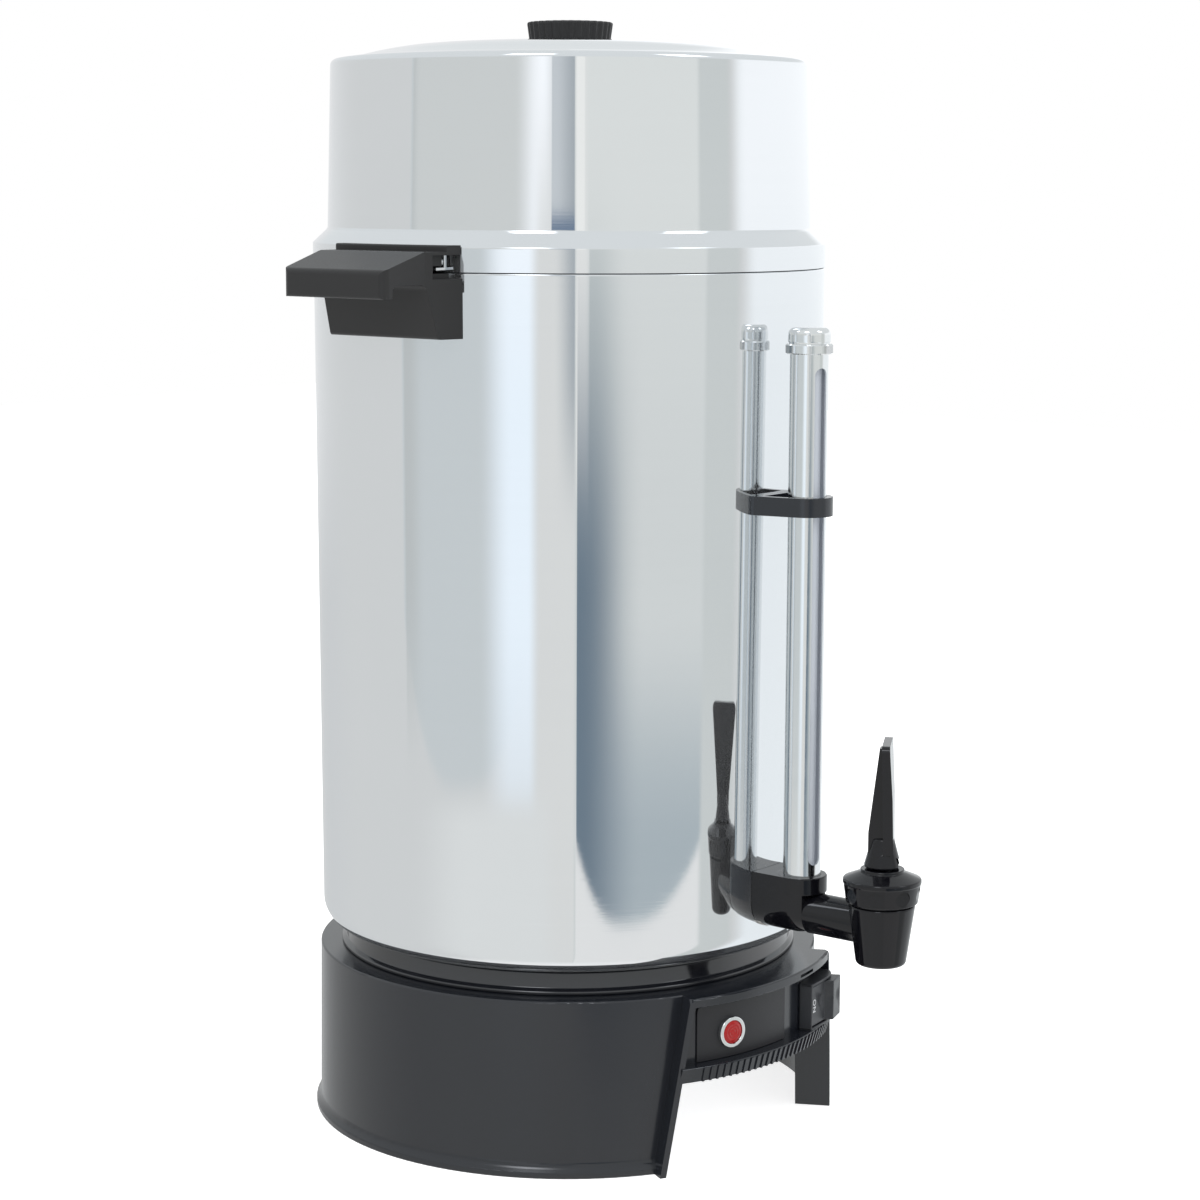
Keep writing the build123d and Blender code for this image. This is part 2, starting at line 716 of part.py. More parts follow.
with BuildPart() as gauge_clip:
    with BuildSketch(Plane.XY.offset(clip_low)):
        with BuildSketch(mode=Mode.PRIVATE) as clip_outside:
            with Locations((0, -gauge_reach)):
                Circle(13.0)
            with Locations((0, -(body_radius - 2))):
                Rectangle(36, 4)
            make_hull()
        with BuildSketch(mode=Mode.PRIVATE) as clip_inside:
            with Locations((0, -gauge_reach)):
                Circle(9.75)
            with Locations((0, -(body_radius + 3.4))):
                Rectangle(27, 0.6)
            make_hull()
        add(clip_outside.sketch)
        add(clip_inside.sketch, mode=Mode.SUBTRACT)
    extrude(amount=clip_high - clip_low)
    upright_rod(0, 0, clip_skin, clip_low - 5, clip_high + 5, Mode.SUBTRACT)
    radial_rod(
        0, clip_low + 4.6, 1.85 + slide_fit, body_radius - 14, body_radius + 4, Mode.SUBTRACT
    )
gauge_clip.part.label = "gauge_clip"
export_step(gauge_clip.part, "parts/gauge_clip.step")

clip_wall = vessel_radius(clip_low) - wall

with BuildPart() as clip_screw:
    radial_rod(0, clip_low + 4.6, 3.6, clip_wall - 2.5, clip_wall - 0.1)
    radial_rod(0, clip_low + 4.6, 1.85, clip_wall - 0.2, body_radius + 2.9)
    with Locations(radial_plane(0, clip_wall - 2.5, clip_low + 4.6)):
        Box(5.2, 1.0, 2.0, mode=Mode.SUBTRACT)
        Box(1.0, 5.2, 2.0, mode=Mode.SUBTRACT)
clip_screw.part.label = "clip_screw"
export_step(clip_screw.part, "parts/clip_screw.step")

# Faucet body: cup with a threaded mouth, an outlet and a tail pipe
cup_low = faucet_height - 19.25
cup_top = faucet_height + 11.75
mouth_top = faucet_height + 18.25
cup_floor = cup_low + 8.5
faucet_axis = Axis((0, -faucet_reach, 0), (0, 0, 1))

with BuildPart() as faucet_body:
    with BuildSketch(radial_plane(0, faucet_reach)):
        add(
            rounded(
                [
                    (0, cup_low),
                    (12.4, cup_low),
                    (16.8, cup_top),
                    (15.2, cup_top),
                    (15.2, mouth_top),
                    (0, mouth_top),
                ],
                [0, 2.5, 1.0, 0, 0.6, 0],
            )
        )
    revolve(axis=faucet_axis)
    radial_rod(0, faucet_height, 10.5, shank_front, faucet_reach - 8)
    radial_rod(0, faucet_height, 8.0, shank_front - 7.3, shank_front + 2)
    upright_rod(0, -faucet_reach, 12.5, cup_floor, mouth_top + 1, Mode.SUBTRACT)
    radial_rod(0, faucet_height, 6.8, shank_front - 9, faucet_reach - 9, Mode.SUBTRACT)
    upright_rod(0, -faucet_reach, 5.5, cup_low - 1, cup_floor + 1, Mode.SUBTRACT)
faucet_body.part.label = "faucet_body"
export_step(faucet_body.part, "parts/faucet_body.step")

# Bonnet: screwed collar with arched finger grooves
bonnet_low = cup_top + 1.0
bonnet_top = faucet_height + 29.75

with BuildPart() as faucet_bonnet:
    with BuildSketch(radial_plane(0, faucet_reach)):
        add(
            rounded(
                [
                    (0, bonnet_low),
                    (17.9, bonnet_low),
                    (19.3, bonnet_top - 7.5),
                    (19.6, bonnet_top - 7.0),
                    (19.6, bonnet_top - 5.0),
                    (11.0, bonnet_top - 1.5),
                    (11.0, bonnet_top),
                    (0, bonnet_top),
                ],
                [0, 0.5, 0, 0, 1.0, 0.6, 0.4, 0],
            )
        )
    revolve(axis=faucet_axis)
    for index in range(8):
        direction = outward(22.5 + 45 * index)
        start = Vector(0, -faucet_reach, bonnet_low + 1.4) + direction * 18.0
        along = Vector(-direction.Y, direction.X, 0)
        with BuildSketch(Plane(origin=start, x_dir=along, z_dir=direction)):
            with BuildLine():
                Line((-4.2, 0), (4.2, 0))
                Line((4.2, 0), (4.2, 3.0))
                ThreePointArc((4.2, 3.0), (0, 7.2), (-4.2, 3.0))
                Line((-4.2, 3.0), (-4.2, 0))
            make_face()
        extrude(amount=6, mode=Mode.SUBTRACT)
    upright_rod(0, -faucet_reach, 15.2 + slide_fit, bonnet_low - 1, mouth_top + 0.2, Mode.SUBTRACT)
    upright_rod(0, -faucet_reach, 10.5, mouth_top, bonnet_top - 5.5, Mode.SUBTRACT)
    upright_rod(
        0, -faucet_reach, stem_radius + running_fit, bonnet_low, bonnet_top + 1, Mode.SUBTRACT
    )
faucet_bonnet.part.label = "faucet_bonnet"
export_step(faucet_bonnet.part, "parts/faucet_bonnet.step")

# Valve: stem, seat cup, spring
seat_top = cup_floor + 15.0

with BuildPart() as seat_cup:
    upright_rod(0, -faucet_reach, 8.5, cup_floor + 0.3, seat_top)
    fillet(seat_cup.edges().group_by(Axis.Z)[0], 1.5)
    upright_rod(0, -faucet_reach, stem_radius + slide_fit, cup_floor + 1.5, seat_top + 1, Mode.SUBTRACT)
seat_cup.part.label = "seat_cup"
export_step(seat_cup.part, "parts/seat_cup.step")

swivel_plane = Plane(
    origin=(0, -faucet_reach, pin_height),
    x_dir=(cos(radians(lever_turn)), sin(radians(lever_turn)), 0),
    z_dir=outward(lever_turn),
)
swivel_side = Plane(
    origin=(0, -faucet_reach, pin_height),
    x_dir=outward(lever_turn),
    z_dir=(-cos(radians(lever_turn)), -sin(radians(lever_turn)), 0),
)

with BuildPart() as valve_stem:
    upright_rod(0, -faucet_reach, stem_radius, cup_floor + 1.6, pin_height + 2.5)
    with BuildSketch(swivel_side):
        Circle(pin_radius + slide_fit)
    extrude(amount=10, both=True, mode=Mode.SUBTRACT)
valve_stem.part.label = "valve_stem"
export_step(valve_stem.part, "parts/valve_stem.step")

with BuildPart() as lever_pin:
    with BuildSketch(swivel_side):
        Circle(pin_radius)
    extrude(amount=7.4, both=True)
lever_pin.part.label = "lever_pin"
export_step(lever_pin.part, "parts/lever_pin.step")

spring_low = seat_top + 0.2
spring_high = bonnet_top - 5.8

with BuildPart() as faucet_spring:
    with BuildLine() as coil:
        Helix(
            pitch=(spring_high - spring_low - 1.4) / 5,
            height=spring_high - spring_low - 1.4,
            radius=8.0,
            center=(0, -faucet_reach, spring_low + 0.7),
        )
    with BuildSketch(Plane(origin=coil.line @ 0, z_dir=coil.line % 0)):
        Circle(0.7)
    sweep(is_frenet=True)
faucet_spring.part.label = "faucet_spring"
export_step(faucet_spring.part, "parts/faucet_spring.step")

# Lever: round hub with a broad upright paddle
hub_low = bonnet_top + 0.4 - pin_height
blade_top = 57.5

with BuildPart() as faucet_lever:
    with BuildSketch(swivel_plane):
        add(
            rounded(
                [
                    (-7.8, 1.5),
                    (7.8, 1.5),
                    (7.8, 8.0),
                    (15.0, 53.0),
                    (15.0, blade_top),
                    (-15.0, blade_top),
                    (-15.0, 53.0),
                    (-7.8, 8.0),
                ],
                [0, 0, 8.0, 3.0, 3.0, 3.0, 3.0, 8.0],
            )
        )
    extrude(amount=20, both=True)
    with BuildSketch(swivel_side):
        with BuildLine():
            Polyline(
                (5.6, 1.5), (5.0, 30.0), (3.4, blade_top), (-0.6, blade_top), (0.4, 10.0), (0.4, 1.5),
                close=True,
            )
        make_face()
    extrude(amount=20, both=True, mode=Mode.INTERSECT)
    with BuildSketch(swivel_side):
        with BuildLine():
            Polyline(
                (3.0, 1.5), (2.4, blade_top - 3), (-2.2, blade_top - 3), (-7.2, 12.0), (-7.2, 1.5),
                close=True,
            )
        make_face()
    extrude(amount=3.2, both=True)
    with BuildSketch(swivel_plane):
        add(
            rounded(
                [(0, hub_low), (9.65, hub_low), (6.6, 5.0), (5.6, 9.0), (0, 9.0)],
                [0, 1.5, 1.0, 1.0, 0],
            )
        )
    revolve(axis=faucet_axis)
    with BuildSketch(swivel_side):
        Circle(5.1)
        Polygon((0, 5.1), (-5.1, 0), (-5.1, -20), (20, -20), (8.5, -1.4), align=None)
    extrude(amount=stem_radius + 0.3, both=True, mode=Mode.SUBTRACT)
    with BuildSketch(swivel_side):
        Circle(pin_radius + slide_fit)
    extrude(amount=7.6, both=True, mode=Mode.SUBTRACT)
faucet_lever.part.label = "faucet_lever"
export_step(faucet_lever.part, "parts/faucet_lever.step")

# Control panel, lamp and switch on the front of the base
panel_low = plate_height + 5.8
panel_high = base_height - 3.8

with BuildPart() as control_panel:
    with BuildSketch(profile_plane(-22.5)):
        with Locations((box_radius + slide_fit, panel_low)):
            Rectangle(0.9, panel_high - panel_low, align=(Align.MIN, Align.MIN))
    revolve(axis=Axis.Z, revolution_arc=26.5)
    with BuildSketch(radial_plane(-9.25, body_radius - 14)):
        with BuildLine():
            FilletPolyline(
                (-34, panel_low),
                (34, panel_low),
                (34, panel_high),
                (-31.3, panel_high),
                (-31.3, panel_low),
                radius=[0, 0, 6.0],
            )
            Line((-31.3, panel_low), (-34, panel_low))
        make_face()
    extrude(amount=40, mode=Mode.INTERSECT)
    radial_rod(lamp_angle, lamp_height, 5.3, *through_wall, Mode.SUBTRACT)
control_panel.part.label = "control_panel"
export_step(control_panel.part, "parts/control_panel.step")

lamp_seat = box_radius + 1.0

with BuildPart() as lamp_bezel:
    with BuildSketch(radial_plane(lamp_angle, lamp_seat, lamp_height)):
        Circle(7.75)
        Circle(6.25, mode=Mode.SUBTRACT)
    extrude(amount=2.4)
    fillet(lamp_bezel.edges().filter_by(GeomType.CIRCLE).sort_by(SortBy.RADIUS)[-2:], 0.7)
lamp_bezel.part.label = "lamp_bezel"
export_step(lamp_bezel.part, "parts/lamp_bezel.step")

with BuildPart() as lamp_lens:
    radial_rod(lamp_angle, lamp_height, 6.2, lamp_seat, lamp_seat + 3.6)
    fillet(
        lamp_lens.edges().filter_by(GeomType.CIRCLE).sort_by_distance(
            outward(lamp_angle) * 200 + Vector(0, 0, lamp_height)
        )[0],
        1.6,
    )
lamp_lens.part.label = "lamp_lens"
export_step(lamp_lens.part, "parts/lamp_lens.step")

with BuildPart() as lamp_body:
    radial_rod(lamp_angle, lamp_height, 5.1, body_radius - 17, lamp_seat - 0.1)
lamp_body.part.label = "lamp_body"
export_step(lamp_body.part, "parts/lamp_body.step")

switch_seat = body_radius + 2.1
switch_level = Plane(
    origin=(0, 0, switch_height),
    x_dir=(cos(radians(switch_angle)), sin(radians(switch_angle)), 0),
    z_dir=(0, 0, -1),
)
rocker_half = 10.5
housing_half = rocker_half + 1.7

with BuildPart() as switch_housing:
    with BuildSketch(switch_level):
        with BuildLine():
            Line((-16, switch_seat), (16, switch_seat))
            Line((16, switch_seat), (16, switch_seat + 2.4))
            ThreePointArc(
                (16, switch_seat + 2.4), (0, switch_seat + 7.4), (-16, switch_seat + 2.4)
            )
            Line((-16, switch_seat + 2.4), (-16, switch_seat))
        make_face()
    extrude(amount=housing_half, both=True)
    with BuildSketch(switch_level):
        with Locations((0, switch_seat + 0.5)):
            Rectangle(30, 17.5, align=(Align.CENTER, Align.MAX))
    extrude(amount=housing_half - 0.4, both=True)
    with BuildSketch(switch_level):
        with Locations((0, switch_seat - 4.0)):
            Rectangle(29.4, 30, align=(Align.CENTER, Align.MIN))
    extrude(amount=rocker_half + 0.3, both=True, mode=Mode.SUBTRACT)
    with BuildSketch(switch_level):
        with Locations((0, switch_seat + 2.9)):
            Rectangle(40, 30, align=(Align.CENTER, Align.MIN))
    extrude(amount=rocker_half + 0.3, both=True, mode=Mode.SUBTRACT)
    pivot = outward(switch_angle) * (switch_seat + 5.0)
    upright_rod(
        pivot.X, pivot.Y, 1.5 + slide_fit, switch_height - 11.7, switch_height + 11.7, Mode.SUBTRACT
    )
switch_housing.part.label = "switch_housing"
export_step(switch_housing.part, "parts/switch_housing.step")

with BuildPart() as switch_rocker:
    with BuildSketch(switch_level):
        with BuildLine():
            Polyline(
                (-13.5, switch_seat + 0.1),
                (-14.0, switch_seat + 5.9),
                (-1.5, switch_seat + 10.3),
                (1.0, switch_seat + 11.5),
                (2.2, switch_seat + 14.3),
                (15.0, switch_seat + 14.3),
                (13.8, switch_seat + 9.6),
                (13.4, switch_seat + 7.3),
                (14.45, switch_seat + 4.1),
                (14.2, switch_seat + 2.9),
                close=True,
            )
        make_face()
    extrude(amount=rocker_half, both=True)
    pivot = outward(switch_angle) * (switch_seat + 5.0)
    upright_rod(pivot.X, pivot.Y, 1.5, switch_height - 11.6, switch_height + 11.6)
switch_rocker.part.label = "switch_rocker"
export_step(switch_rocker.part, "parts/switch_rocker.step")

with BuildPart() as switch_terminals:
    for shift in (-7.0, 7.0):
        for rise in (-5.0, 5.0):
            with Locations(radial_plane(switch_angle, switch_seat - 26.0, switch_height)):
                with Locations((shift, rise, 0)):
                    Box(0.8, 6.3, 9.0, align=(Align.CENTER, Align.CENTER, Align.MIN))
switch_terminals.part.label = "switch_terminals"
export_step(switch_terminals.part, "parts/switch_terminals.step")

# Heaters under the vessel
with BuildPart() as brew_heater:
    upright_rod(0, 0, well_radius - 1, well_floor - 8, well_floor)
    upright_rod(0, 26, 2.2, well_floor - 11.5, well_floor - 7.9)
    with Locations((0, 28.0, well_floor - 10.2)):
        Box(4, 4.4, 2.6)
brew_heater.part.label = "brew_heater"
export_step(brew_heater.part, "parts/brew_heater.step")

heater_low = vessel_bottom - 5.5
heater_outer = 62.0

# The thermostat and the fuse sit between the heater ring and the collar's inner edge
sensor_room = body_radius - 42 - heater_outer
sensor_circle = heater_outer + sensor_room * 8 / 15
thermostat_radius = sensor_room * 0.3

with BuildPart() as warming_heater:
    with BuildSketch(Plane.XY.offset(heater_low)):
        Circle(heater_outer)
        Circle(heater_outer - 14, mode=Mode.SUBTRACT)
    extrude(amount=5.3)
    with Locations((8, heater_outer + 1.5, vessel_bottom - 3)):
        Box(4, 5, 3)
warming_heater.part.label = "warming_heater"
export_step(warming_heater.part, "parts/warming_heater.step")

clamp_reach = 41.0

with BuildPart() as clamp_ring:
    with BuildSketch(Plane.XY.offset(heater_low - 2)):
        Circle(heater_outer - 3)
        Circle(36, mode=Mode.SUBTRACT)
        for x in (-clamp_reach, clamp_reach):
            with Locations((x, 0)):
                Circle(2.5 + bolt_fit, mode=Mode.SUBTRACT)
    extrude(amount=2)
clamp_ring.part.label = "clamp_ring"
export_step(clamp_ring.part, "parts/clamp_ring.step")

bar_low = well_floor - 10.0

with BuildPart() as clamp_bar:
    with BuildSketch(Plane.XY.offset(bar_low)):
        RectangleRounded(98, 16, 5)
        for x in (-clamp_reach, clamp_reach):
            with Locations((x, 0)):
                Circle(2.5 + bolt_fit, mode=Mode.SUBTRACT)
    extrude(amount=2)
clamp_bar.part.label = "clamp_bar"
export_step(clamp_bar.part, "parts/clamp_bar.step")

with BuildPart() as clamp_studs:
    for x in (-clamp_reach, clamp_reach):
        upright_rod(x, 0, 2.5, bar_low - 11, vessel_bottom)
clamp_studs.part.label = "clamp_studs"
export_step(clamp_studs.part, "parts/clamp_studs.step")

shield_low = bar_low - 4.6

with BuildPart() as clamp_nuts:
    for x in (-clamp_reach, clamp_reach):
        for top in (heater_low - 2, bar_low, shield_low):
            with BuildSketch(Plane(origin=(x, 0, top - 4))):
                RegularPolygon(4.0, 6, major_radius=False)
                Circle(2.5 + slide_fit, mode=Mode.SUBTRACT)
            extrude(amount=4)
clamp_nuts.part.label = "clamp_nuts"
export_step(clamp_nuts.part, "parts/clamp_nuts.step")

with BuildPart() as heat_shield:
    with BuildSketch(Plane.XY.offset(shield_low)):
        Circle(sensor_circle - 6)
        for x in (-clamp_reach, clamp_reach):
            with Locations((x, 0)):
                Circle(2.5 + bolt_fit, mode=Mode.SUBTRACT)
    extrude(amount=0.6)
heat_shield.part.label = "heat_shield"
export_step(heat_shield.part, "parts/heat_shield.step")

# Thermostat, fuse, terminal block, wires, cord gland
with BuildPart() as thermostat:
    spot = outward(60) * sensor_circle
    upright_rod(spot.X, spot.Y, thermostat_radius, vessel_bottom - 12.1, vessel_bottom - 0.1)
    upright_rod(spot.X, spot.Y, thermostat_radius - 3.5, vessel_bottom - 14.1, vessel_bottom - 12)
thermostat.part.label = "thermostat"
export_step(thermostat.part, "parts/thermostat.step")

with BuildPart() as thermal_fuse:
    with Locations(radial_plane(-60, sensor_circle - 7, vessel_bottom - 2.2)):
        Cylinder(2.0, 14, align=(Align.CENTER, Align.CENTER, Align.MIN))
thermal_fuse.part.label = "thermal_fuse"
export_step(thermal_fuse.part, "parts/thermal_fuse.step")

block_y = body_radius - 39
plate_top = plate_height + plate_thickness

with BuildPart() as terminal_block:
    with Locations((0, block_y, plate_top)):
        Box(40, 16, 14, align=(Align.CENTER, Align.CENTER, Align.MIN))
    for x in (-14, -5, 14):
        upright_rod(x, block_y, 2.4, plate_top + 10, plate_top + 15, Mode.SUBTRACT)
terminal_block.part.label = "terminal_block"
export_step(terminal_block.part, "parts/terminal_block.step")

run = plate_top + 6.6
switch_back = outward(switch_angle)
switch_side = Vector(cos(radians(switch_angle)), sin(radians(switch_angle)), 0)
tab_reach = switch_seat - 26.1
near_tab = switch_back * tab_reach - switch_side * 7
far_tab = switch_back * tab_reach + switch_side * 7
lamp_back = outward(lamp_angle) * (body_radius - 17.1)
heat_spot = outward(60) * sensor_circle
fuse_spot = outward(-60) * (sensor_circle + 2)
block_front = block_y - 8.1

with BuildPart() as wiring:
    for points in (
        [
            (near_tab.X, near_tab.Y, switch_height),
            (near_tab.X - 2.5, near_tab.Y + 7.5, switch_height),
            (near_tab.X - 2.5, near_tab.Y + 7.5, run),
            (near_tab.X - 2.5, block_front - 20, run),
            (14, block_front - 12, run),
            (14, block_front, run),
        ],
        [
            (far_tab.X, far_tab.Y, switch_height),
            (far_tab.X - 2.5, far_tab.Y + 7.5, switch_height),
            (far_tab.X - 2.5, far_tab.Y + 7.5, run),
            (far_tab.X - 2.5, block_y, run),
            (20.1, block_y, run),
        ],
        [
            (lamp_back.X, lamp_back.Y, lamp_height),
            (lamp_back.X + 1.9, lamp_back.Y + 7.8, lamp_height),
            (lamp_back.X + 1.9, lamp_back.Y + 7.8, run),
            (lamp_back.X + 1.9, block_front - 20, run),
            (-14, block_front - 12, run),
            (-14, block_front, run),
        ],
        [
            (0, 30.3, well_floor - 10.2),
            (0, block_y, well_floor - 10.2),
            (0, block_y, plate_top + 14.1),
        ],
        [
            (8, heater_outer + 4.1, vessel_bottom - 3),
            (8, sensor_circle, vessel_bottom - 3),
            (8, sensor_circle, base_height - 16),
            (8, block_y - 2, base_height - 22),
            (8, block_y - 2, plate_top + 14.1),
        ],
        [
            (heat_spot.X, heat_spot.Y, vessel_bottom - 14.2),
            (heat_spot.X, heat_spot.Y, run),
            (heat_spot.X, block_y + 5, run),
            (20.1, block_y + 5, run),
        ],
        [
            (fuse_spot.X, fuse_spot.Y, vessel_bottom - 4.3),
            (fuse_spot.X, fuse_spot.Y, run),
            (fuse_spot.X, block_y, run),
            (-20.1, block_y, run),
        ],
    ):
        with BuildLine() as route:
            FilletPolyline(*points, radius=2.4)
        with BuildSketch(Plane(origin=route.line @ 0, z_dir=route.line % 0)):
            Circle(1.2)
        sweep()
wiring.part.label = "wiring"
export_step(wiring.part, "parts/wiring.step")

gland_skin = skirt_radius(gland_height) + 0.1

with BuildPart() as cord_gland:
    radial_rod(180, gland_height, 9.0, gland_skin, gland_skin + 3)
    radial_rod(180, gland_height, 6.4, body_radius - 16, gland_skin + 1)
    radial_rod(180, gland_height, 3.8, body_radius - 20, gland_skin + 5, Mode.SUBTRACT)
cord_gland.part.label = "cord_gland"
export_step(cord_gland.part, "parts/cord_gland.step")

# Pump and coffee basket
with BuildPart() as pump_tube:
    with BuildSketch(Plane.XZ):
        with BuildLine():
            Polyline(
                (pump_radius - 0.9, well_floor + 14),
                (pump_radius, well_floor + 14),
                (pump_radius, basket_floor - 3.2),
                (9.0, basket_floor - 2.6),
                (9.0, basket_floor - 1.0),
                (pump_radius, basket_floor - 0.4),
                (pump_radius, crown - 60),
                (pump_radius - 0.9, crown - 60),
                close=True,
            )
        make_face()
    revolve(axis=Axis.Z)
pump_tube.part.label = "pump_tube"
export_step(pump_tube.part, "parts/pump_tube.step")

with BuildPart() as pump_bell:
    with BuildSketch(Plane.XZ):
        add(
            rounded(
                [
                    (26, well_floor + 1.5),
                    (27, well_floor + 1.5),
                    (27, well_floor + 9),
                    (12, well_floor + 19),
                    (8, well_floor + 19),
                    (8, well_floor + 23),
                    (pump_radius + 0.05, well_floor + 23),
                    (pump_radius + 0.05, well_floor + 17.8),
                    (11.6, well_floor + 17.8),
                    (26, well_floor + 8.4),
                ],
                [0, 0, 3.0, 2.0, 0.5, 0, 0, 0, 1.0, 2.0],
            )
        )
    revolve(axis=Axis.Z)
pump_bell.part.label = "pump_bell"
export_step(pump_bell.part, "parts/pump_bell.step")

with BuildPart() as basket:
    with BuildSketch(Plane.XZ):
        add(
            rounded(
                [
                    (7.2, basket_floor),
                    (basket_radius, basket_floor),
                    (basket_radius, basket_floor + basket_height),
                    (basket_radius - 0.8, basket_floor + basket_height),
                    (basket_radius - 0.8, basket_floor + 0.8),
                    (8.0, basket_floor + 0.8),
                    (8.0, basket_floor + basket_height - 4),
                    (7.2, basket_floor + basket_height - 4),
                ],
                [0, 3.0, 0, 0, 2.2, 0, 0, 0],
            )
        )
    revolve(axis=Axis.Z)
    with BuildSketch(Plane.XY.offset(basket_floor - 1)):
        for ring, count in ((30, 18), (52, 24), (74, 30)):
            with PolarLocations(ring, count):
                Circle(1.25)
    extrude(amount=3, mode=Mode.SUBTRACT)
basket.part.label = "basket"
export_step(basket.part, "parts/basket.step")

spread_low = basket_floor + basket_height + 0.3

with BuildPart() as basket_lid:
    with BuildSketch(Plane.XZ):
        with BuildLine():
            Polyline(
                (pump_radius + 0.45, spread_low),
                (basket_radius - 6, spread_low),
                (basket_radius - 4, spread_low + 4.9),
                (basket_radius + 1, spread_low + 4.9),
                (basket_radius + 1, spread_low + 5.7),
                (basket_radius - 4.6, spread_low + 5.7),
                (basket_radius - 6.6, spread_low + 0.8),
                (pump_radius + 0.45, spread_low + 0.8),
                close=True,
            )
        make_face()
    revolve(axis=Axis.Z)
    with BuildSketch(Plane.XY.offset(spread_low - 1)):
        for ring, count in ((24, 16), (46, 24), (68, 32)):
            with PolarLocations(ring, count):
                Circle(1.6)
    extrude(amount=3, mode=Mode.SUBTRACT)
basket_lid.part.label = "basket_lid"
export_step(basket_lid.part, "parts/basket_lid.step")
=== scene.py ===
import json
import math

import bpy
from mathutils import Matrix, Vector


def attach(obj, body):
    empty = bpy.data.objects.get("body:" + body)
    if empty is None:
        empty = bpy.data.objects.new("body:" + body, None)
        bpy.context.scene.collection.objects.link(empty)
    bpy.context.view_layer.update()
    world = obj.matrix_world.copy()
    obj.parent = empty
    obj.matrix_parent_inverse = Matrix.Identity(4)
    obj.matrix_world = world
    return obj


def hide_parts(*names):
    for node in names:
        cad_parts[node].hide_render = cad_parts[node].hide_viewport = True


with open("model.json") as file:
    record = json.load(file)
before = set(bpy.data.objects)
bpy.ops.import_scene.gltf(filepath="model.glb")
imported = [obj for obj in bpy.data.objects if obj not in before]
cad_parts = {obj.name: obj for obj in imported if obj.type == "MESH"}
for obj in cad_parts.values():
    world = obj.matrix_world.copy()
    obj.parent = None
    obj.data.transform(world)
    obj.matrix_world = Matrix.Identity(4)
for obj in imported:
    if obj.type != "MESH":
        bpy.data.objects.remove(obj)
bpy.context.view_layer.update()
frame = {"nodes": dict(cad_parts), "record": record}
nodes = frame["nodes"]
scene = bpy.context.scene
scene.view_settings.view_transform = "Standard"
bpy.ops.object.select_all(action="DESELECT")
print("frame loaded:", len(nodes), "nodes")

# Blender works in metres, and the sizes of the pieces below are in millimetres
mm = 0.001


# Camera: a little above the urn, between the left handle and the faucet (metres, degrees)
cameraPlace = {
    "location": (-1.15199, -0.94963, 0.49487),
    "turn": -51.14,
    "tilt": 81.58,
    "roll": 0.2086,
    "lens": 84.48,
    "sensor": 36,
}


def makeCamera(place):
    lensData = bpy.data.cameras.new("urnCamera")
    lensData.lens = place["lens"]
    lensData.sensor_width = place["sensor"]
    camera = bpy.data.objects.new("urnCamera", lensData)
    scene.collection.objects.link(camera)
    camera.location = place["location"]
    facing = (
        Matrix.Rotation(math.radians(place["turn"]), 3, "Z")
        @ Matrix.Rotation(math.radians(place["tilt"]), 3, "X")
        @ Matrix.Rotation(math.radians(place["roll"]), 3, "Z")
    )
    camera.rotation_euler = facing.to_euler()
    scene.camera = camera


makeCamera(cameraPlace)
print("camera set")


